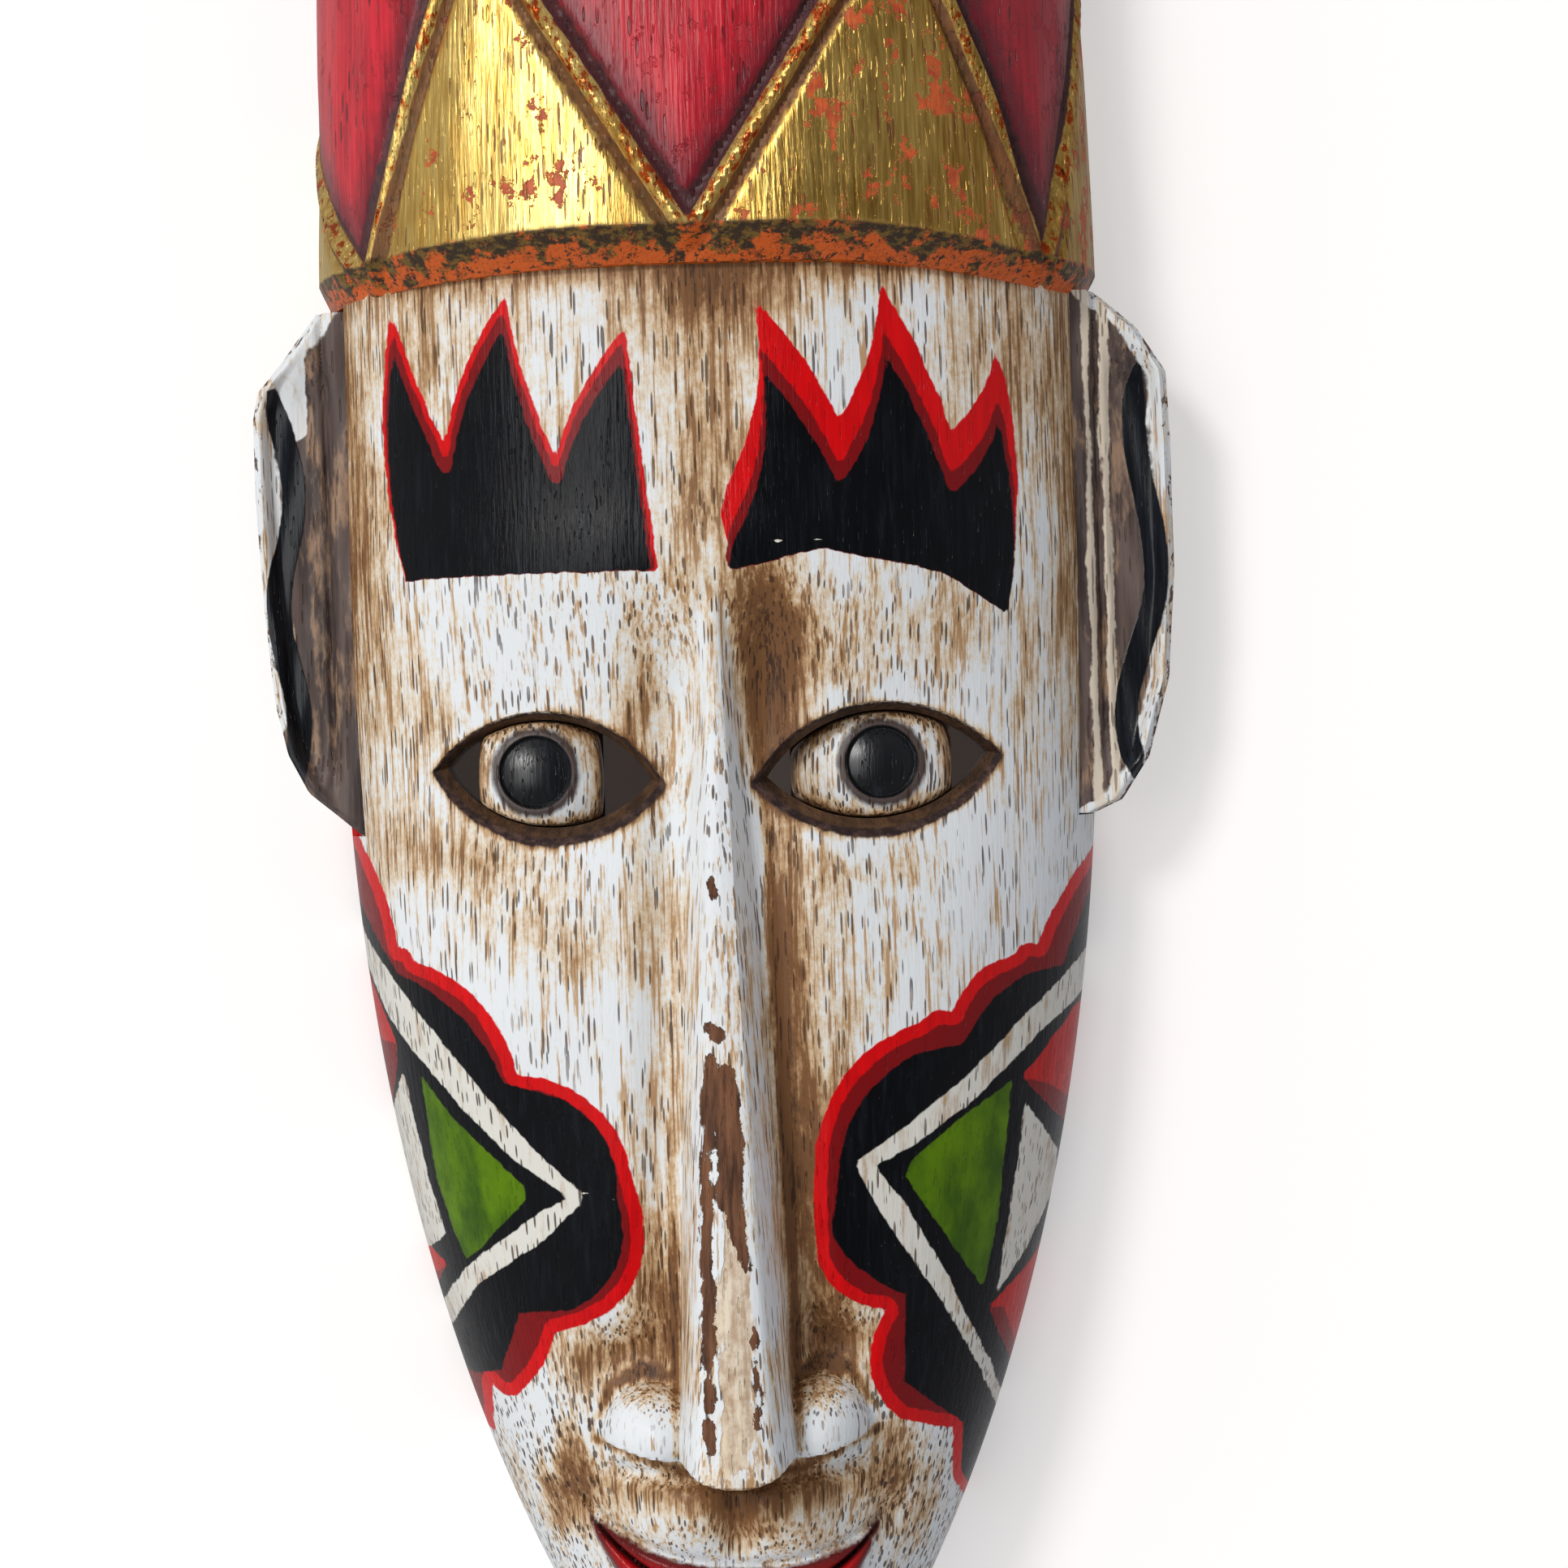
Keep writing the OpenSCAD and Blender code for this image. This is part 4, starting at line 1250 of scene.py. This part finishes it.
def earFinish():
    b = Finish("stainedEars", specular=0.26)
    c = paintColours
    tremble = b.times(b.noise(1.5, detail=3, shift=4), 0.8)
    hand = b.plus(tremble, b.times(b.noise(5, 2, detail=3, shift=5), 1.2))
    base, pores, streak = oldWhite(b, 0.12)
    cloud = b.rise(b.plus(streak, b.noise(7, 3, detail=4, shift=8)), -0.4, 0.4)
    grey = b.over(cloud, tint(50, 42, 42), tint(104, 88, 82))
    tanRub = b.rise(b.noise(4.5, 4, detail=5, rough=0.65, shift=13), 0.02, 0.16)
    grey = b.over(b.times(tanRub, 0.6), grey, tint(180, 146, 116))
    ragged = b.times(b.noise(7, 2.4, detail=4, shift=15), 6)
    rim = b.rise(b.plus(b.field("rim"), b.times(hand, 1.5), ragged), 4.4, 3.6)
    colour = b.over(rim, grey, base)
    line = b.rise(b.plus(b.field("line"), hand, b.times(b.noise(4, 5, detail=4, shift=21), 2.4)), -0.1, 0.3)
    colour = b.over(b.times(line, 0.9), colour, c["cream"])
    colour = b.over(b.times(pores, 0.6), colour, c["umber"])
    patch = b.rise(b.plus(b.field("patch"), hand), -0.2, 0.2)
    colour = b.over(patch, colour, b.over(b.rise(streak, 0.0, 0.4), c["white"], c["tan"]))
    nearRim = b.rise(b.field("rim"), 2.6, 0.2, 0.0, 0.16)
    chip = b.rise(b.plus(b.noise(2.8, 1.4, detail=6, rough=0.7, shift=25), nearRim), 0.2, 0.24)
    colour = b.over(chip, colour, tint(104, 74, 56))
    wave = b.rise(b.plus(b.field("wave"), b.times(hand, 0.45)), -0.15, 0.15)
    wave = b.times(wave, b.rise(b.noise(2.4, 2, detail=5, rough=0.7, shift=29), 0.27, 0.22))
    # painted sheen: lighter bluish streaks in the black wavy line
    colour = b.over(wave, colour, b.over(b.rise(streak, -0.1, 0.4), tint(12, 15, 20), tint(34, 40, 50)))
    bare = b.rise(b.field("bare"), 0.4, 0.6)
    rawWood = b.over(b.rise(streak, -0.3, 0.3), tint(84, 58, 40), tint(134, 98, 68))
    colour = b.over(bare, colour, rawWood)
    rough = b.between(wave, b.plus(0.5, b.times(hand, 0.1)), 0.3)
    rough = b.between(bare, rough, 0.75)
    pits = b.times(pores, b.math("SUBTRACT", 1.0, patch))
    lift = b.plus(b.times(wave, 0.3), b.times(pits, -0.5), b.times(streak, 0.4), b.times(chip, -0.8))
    return b.done(colour, roughness=rough, normal=b.height(lift, 0.35))


earPaint = earFinish()
for side, name, node in ((-1, "leftEar", "left_ear"), (1, "rightEar", "right_ear")):
    ear = makeEar(side, name)
    finishShape(ear, 45)
    ear.data.materials.clear()
    ear.data.materials.append(earPaint)
    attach(ear, "mask")
    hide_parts(node)
print("ears shaped and painted")


# eyes


def eyeDome(eye, x, z):
    r = 19
    away = np.minimum(np.hypot(x - eyes["ballX"][eye], z - eyes["z"]), r - 0.2)
    return eyes["front"] + r - np.sqrt(r * r - away * away)


def makeEye(eye, name):
    # rings that spread from the pupil's circle to the outline of the ball
    half = eyes["ballWidth"][eye] / 2
    middle = eyes["ballX"][eye]
    cx, cz = eyes["pupilX"][eye], eyes["z"] + 1.3
    count = 144
    turn = np.linspace(0, 2 * math.pi, count, endpoint=False) - math.pi
    dirs = np.stack([np.cos(turn), np.sin(turn)], axis=1)
    reach = np.zeros(count)
    for i, (ux, uz) in enumerate(dirs):
        steps = np.linspace(0.5, 30, 600)
        x, z = cx + ux * steps, cz + uz * steps
        side = half * (1 - 0.09 * ((z - eyes["z"]) / 9) ** 2)
        within = almondInside(x, z - eyes["rimShift"], eye) > eyes["rim"] + 0.3
        held = (np.abs(x - middle) < side) & within
        reach[i] = steps[np.argmin(held)] if not held.all() else 30
    reach = np.convolve(np.concatenate([reach[-2:], reach, reach[:2]]), [0.1, 0.2, 0.4, 0.2, 0.1], "valid")
    pupil = eyes["pupilR"]
    radii = [0.6, 1.6, 2.6, 3.4, 4.2, 5.0, 5.6, 5.9, 6.1, 6.3, 6.45, 6.7, 7.1]
    rings = []
    for r in radii:
        x, z = cx + dirs[:, 0] * r, cz + dirs[:, 1] * r
        sink = 1.5 * (1 - smooth(pupil - 0.7, pupil + 0.3, r)) * (0.72 + 0.28 * (r / pupil) ** 2)
        rings.append(np.stack([x, eyeDome(eye, x, z) + sink, z], axis=1))
    for t in np.linspace(0, 1, 16)[1:]:
        r = 7.1 + (np.maximum(reach, 7.3) - 7.1) * t
        x, z = cx + dirs[:, 0] * r, cz + dirs[:, 1] * r
        rings.append(np.stack([x, eyeDome(eye, x, z) + 0.8 * max(0, (t - 0.8) / 0.2) ** 2, z], axis=1))
    x, z = rings[-1][:, 0], rings[-1][:, 2]
    rings.append(np.stack([x, np.full(count, eyes["seat"] + 1), z], axis=1))
    # stacked from the front to the back, so the rings are turned round
    ball = loft(name, [ring[::-1] for ring in rings])
    low = (middle - half, eyes["seat"], eyes["z"] - 17)
    high = (middle + half, eyes["back"], eyes["z"] + 17)
    combine(ball, [boxBlock(low, high)], "UNION")
    p = pointsOf(ball)
    x, y, z = p.T
    opening = almondInside(x, z - eyes["rimShift"], eye) - eyes["rim"]
    store(ball, {
        "pupil": pupil - np.hypot(x - cx, z - cz),
        "edge": np.minimum(half - np.abs(x - middle), opening),
        "bare": smooth(-44.5, -43, y),
    })
    return ball


def eyeFinish():
    b = Finish("paintedEyes", specular=0.5)
    c = paintColours
    hand = b.times(b.noise(2.2, detail=3, shift=4), 0.9)
    # brown rubbed in, with painted shade where the ball meets the lids and at its sides
    stainAndShade = b.plus(0.1, b.rise(b.field("edge"), 3.2, 0.0, 0.0, 0.6))
    base, pores, streak = oldWhite(b, stainAndShade)
    pores = b.most(pores, b.dashes(1.2, 9, 0.26, shift=13))
    colour = b.over(b.times(pores, 0.9), base, c["umber"])
    ring = b.rise(b.plus(b.field("pupil"), hand, b.times(streak, 1.5)), -2.1, -0.9)
    colour = b.over(b.times(ring, 0.96), colour, tint(54, 36, 31))
    pupil = b.rise(b.plus(b.field("pupil"), b.times(hand, 0.4)), -0.15, 0.15)
    # painted sheen: lighter bluish streaks in the black pupil
    colour = b.over(pupil, colour, b.over(b.rise(streak, 0.0, 0.4), tint(10, 12, 16), tint(44, 48, 58)))
    bare = b.rise(b.field("bare"), 0.4, 0.6)
    colour = b.over(bare, colour, tint(74, 52, 36))
    rough = b.between(pupil, 0.48, 0.3)
    rough = b.between(bare, rough, 0.75)
    lift = b.plus(b.times(pores, -0.6), b.times(streak, 0.4))
    return b.done(colour, roughness=rough, normal=b.height(lift, 0.3))


eyePaint = eyeFinish()
for eye, name, node in ((0, "leftEye", "left_eye"), (1, "rightEye", "right_eye")):
    ball = makeEye(eye, name)
    finishShape(ball, 40)
    ball.data.materials.clear()
    ball.data.materials.append(eyePaint)
    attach(ball, "mask")
    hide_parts(node)
print("eyes set in")


# dowels, pegs and hanger


def dowelFinish():
    b = Finish("turnedDowels", roughness=0.62, specular=0.35)
    grain = b.noise(0.8, 14, detail=4, shift=2)
    colour = b.over(b.rise(grain, -0.3, 0.3), tint(150, 108, 66), tint(206, 168, 118))
    colour = b.over(b.times(b.dashes(0.9, 8, 0.25), 0.6), colour, tint(104, 70, 42))
    return b.done(colour, normal=b.height(grain, 0.2))


def hangerFinish():
    b = Finish("zincHanger", metallic=1.0)
    spangle = b.add("ShaderNodeTexVoronoi")
    spangle.inputs["Scale"].default_value = 1
    b.feed(spangle.inputs["Vector"], b.stretched(1.6, 1.0))
    bloom = b.plus(b.times(spangle.outputs["Distance"], 0.5), b.noise(3, detail=5))
    colour = b.over(b.rise(bloom, -0.2, 0.6), tint(150, 152, 154), tint(206, 207, 205))
    rust = b.rise(b.noise(2.2, detail=6, rough=0.7, shift=9), 0.17, 0.24)
    colour = b.over(b.times(rust, 0.75), colour, tint(122, 82, 58))
    rough = b.plus(0.3, b.times(b.noise(1.1, detail=4, shift=5), 0.35), b.times(rust, 0.3))
    scratch = b.noise(0.25, 9, detail=2, shift=14)
    metal = b.math("SUBTRACT", 1.0, b.times(rust, 0.6))
    return b.done(colour, roughness=rough, normal=b.height(scratch, 0.06), metallic=metal)


def finishNode(node, material):
    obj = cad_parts[node]
    if obj.material_slots:
        for slot in obj.material_slots:
            slot.material = material
    else:
        obj.data.materials.append(material)


dowelWood = dowelFinish()
zinc = hangerFinish()
for node in ("crown_dowels", "ear_pegs"):
    finishNode(node, dowelWood)
for node in ("hanger_strap", "hanger_ring", "hanger_screws"):
    finishNode(node, zinc)
print("dowels, pegs and hanger finished")


# wall, floor and light

room = {"wallY": 0.4, "floorZ": -260, "bend": 150, "halfWidth": 1600, "top": 1500, "reach": 1600}


def oneWayPlaster():
    # seen from in front only, so that the back of the mask can be looked at and lit
    b = Finish("palePlaster", roughness=0.9, specular=0.1)
    b.feed(b.shader.inputs["Base Color"], tint(205, 200, 198))
    b.shader.inputs["Emission Color"].default_value = (1, 1, 1, 1)
    # painted light: the plaster glows evenly like a bright room, and the glow fades out behind the mask as
    # a painted shadow
    tree = b.tree
    shadowBehindMask = b.add("ShaderNodeMapping")
    shadowBehindMask.inputs["Scale"].default_value = (1 / 0.074, 0, 1 / 0.2)
    shadowBehindMask.inputs["Location"].default_value = (0, 0, -(chinZ + 0.215) / 0.2)
    b.feed(shadowBehindMask.inputs["Vector"], b.place)
    away = b.add("ShaderNodeVectorMath", operation="LENGTH")
    tree.links.new(shadowBehindMask.outputs[0], away.inputs[0])
    b.feed(b.shader.inputs["Emission Strength"], b.rise(away.outputs["Value"], 0.75, 1.02, 0.02, 0.46))
    path = b.add("ShaderNodeLightPath")
    side = b.add("ShaderNodeNewGeometry")
    clear = b.add("ShaderNodeBsdfTransparent")
    mixer = b.add("ShaderNodeMixShader")
    through = side.outputs["Backfacing"]
    for ray in ("Is Glossy Ray", "Is Diffuse Ray", "Is Shadow Ray"):
        through = b.most(through, path.outputs[ray])
    tree.links.new(through, mixer.inputs[0])
    tree.links.new(b.shader.outputs[0], mixer.inputs[1])
    tree.links.new(clear.outputs[0], mixer.inputs[2])
    out = [node for node in tree.nodes if node.type == "OUTPUT_MATERIAL"][0]
    tree.links.new(mixer.outputs[0], out.inputs["Surface"])
    return b.material


def makeRoom():
    bend = room["bend"]
    profile = [(room["wallY"], room["top"]), (room["wallY"], room["floorZ"] + bend)]
    for i in range(1, 17):
        a = math.pi / 2 * i / 16
        y = room["wallY"] - bend * (1 - math.cos(a))
        profile.append((y, room["floorZ"] + bend * (1 - math.sin(a))))
    profile.append((-room["reach"], room["floorZ"]))
    points = [(x, y, z) for y, z in profile for x in (-room["halfWidth"], room["halfWidth"])]
    faces = [(2 * i, 2 * i + 2, 2 * i + 3, 2 * i + 1) for i in range(len(profile) - 1)]
    sweep = meshObject("wallAndFloor", points, faces)
    sweep.data.shade_smooth()
    sweep.data.materials.append(oneWayPlaster())


def makeLight():
    sun = bpy.data.lights.new("windowLight", "SUN")
    sun.energy = light["sunStrength"]
    sun.angle = math.radians(light["sunSpread"])
    sun.color = (1.0, 0.985, 0.96)
    lamp = bpy.data.objects.new("windowLight", sun)
    bpy.context.collection.objects.link(lamp)
    lamp.rotation_euler = Vector(light["sunFrom"]).to_track_quat("Z", "Y").to_euler()
    window = bpy.data.lights.new("softWindow", "AREA")
    window.shape = "RECTANGLE"
    window.size, window.size_y = light["windowSize"]
    window.energy = light["windowGlow"] * math.pi * window.size * window.size_y
    window.color = (0.985, 0.992, 1.0)
    pane = bpy.data.objects.new("softWindow", window)
    bpy.context.collection.objects.link(pane)
    toward = Vector(light["windowFrom"]).normalized()
    pane.location = Vector(inMetres([(0, 0, 230)])[0]) + toward * light["windowAway"]
    pane.rotation_euler = toward.to_track_quat("Z", "Y").to_euler()
    world = bpy.data.worlds.new("paleStudio")
    bpy.context.scene.world = world
    world.use_nodes = True
    tree = world.node_tree
    tree.nodes.clear()
    place = tree.nodes.new("ShaderNodeTexCoord")
    split = tree.nodes.new("ShaderNodeSeparateXYZ")
    ramp = tree.nodes.new("ShaderNodeMapRange")
    front = tree.nodes.new("ShaderNodeMapRange")
    blend = tree.nodes.new("ShaderNodeMix")
    sky = tree.nodes.new("ShaderNodeBackground")
    out = tree.nodes.new("ShaderNodeOutputWorld")
    blend.data_type = "RGBA"
    ramp.inputs["From Min"].default_value = -0.5
    ramp.inputs["From Max"].default_value = 0.7
    blend.inputs[6].default_value = (*light["skyLeft"], 1)
    blend.inputs[7].default_value = (*light["skyRight"], 1)
    front.interpolation_type = "SMOOTHSTEP"
    front.inputs["From Min"].default_value = -0.97
    front.inputs["From Max"].default_value = -0.55
    front.inputs["To Min"].default_value = light["skyFront"]
    tree.links.new(split.outputs["Y"], front.inputs["Value"])
    path = tree.nodes.new("ShaderNodeLightPath")
    shine = tree.nodes.new("ShaderNodeMapRange")
    both = tree.nodes.new("ShaderNodeMath")
    both.operation = "MULTIPLY"
    shine.inputs["To Min"].default_value = 1
    shine.inputs["To Max"].default_value = light["skyShine"]
    tree.links.new(path.outputs["Is Glossy Ray"], shine.inputs["Value"])
    tree.links.new(front.outputs[0], both.inputs[0])
    tree.links.new(shine.outputs[0], both.inputs[1])
    tree.links.new(both.outputs[0], sky.inputs["Strength"])
    tree.links.new(place.outputs["Generated"], split.inputs[0])
    tree.links.new(split.outputs["X"], ramp.inputs["Value"])
    tree.links.new(ramp.outputs[0], blend.inputs[0])
    tree.links.new(blend.outputs[2], sky.inputs["Color"])
    tree.links.new(sky.outputs[0], out.inputs["Surface"])


makeRoom()
makeLight()
bpy.context.scene.view_settings.view_transform = "Standard"
print("wall, floor and light in place")
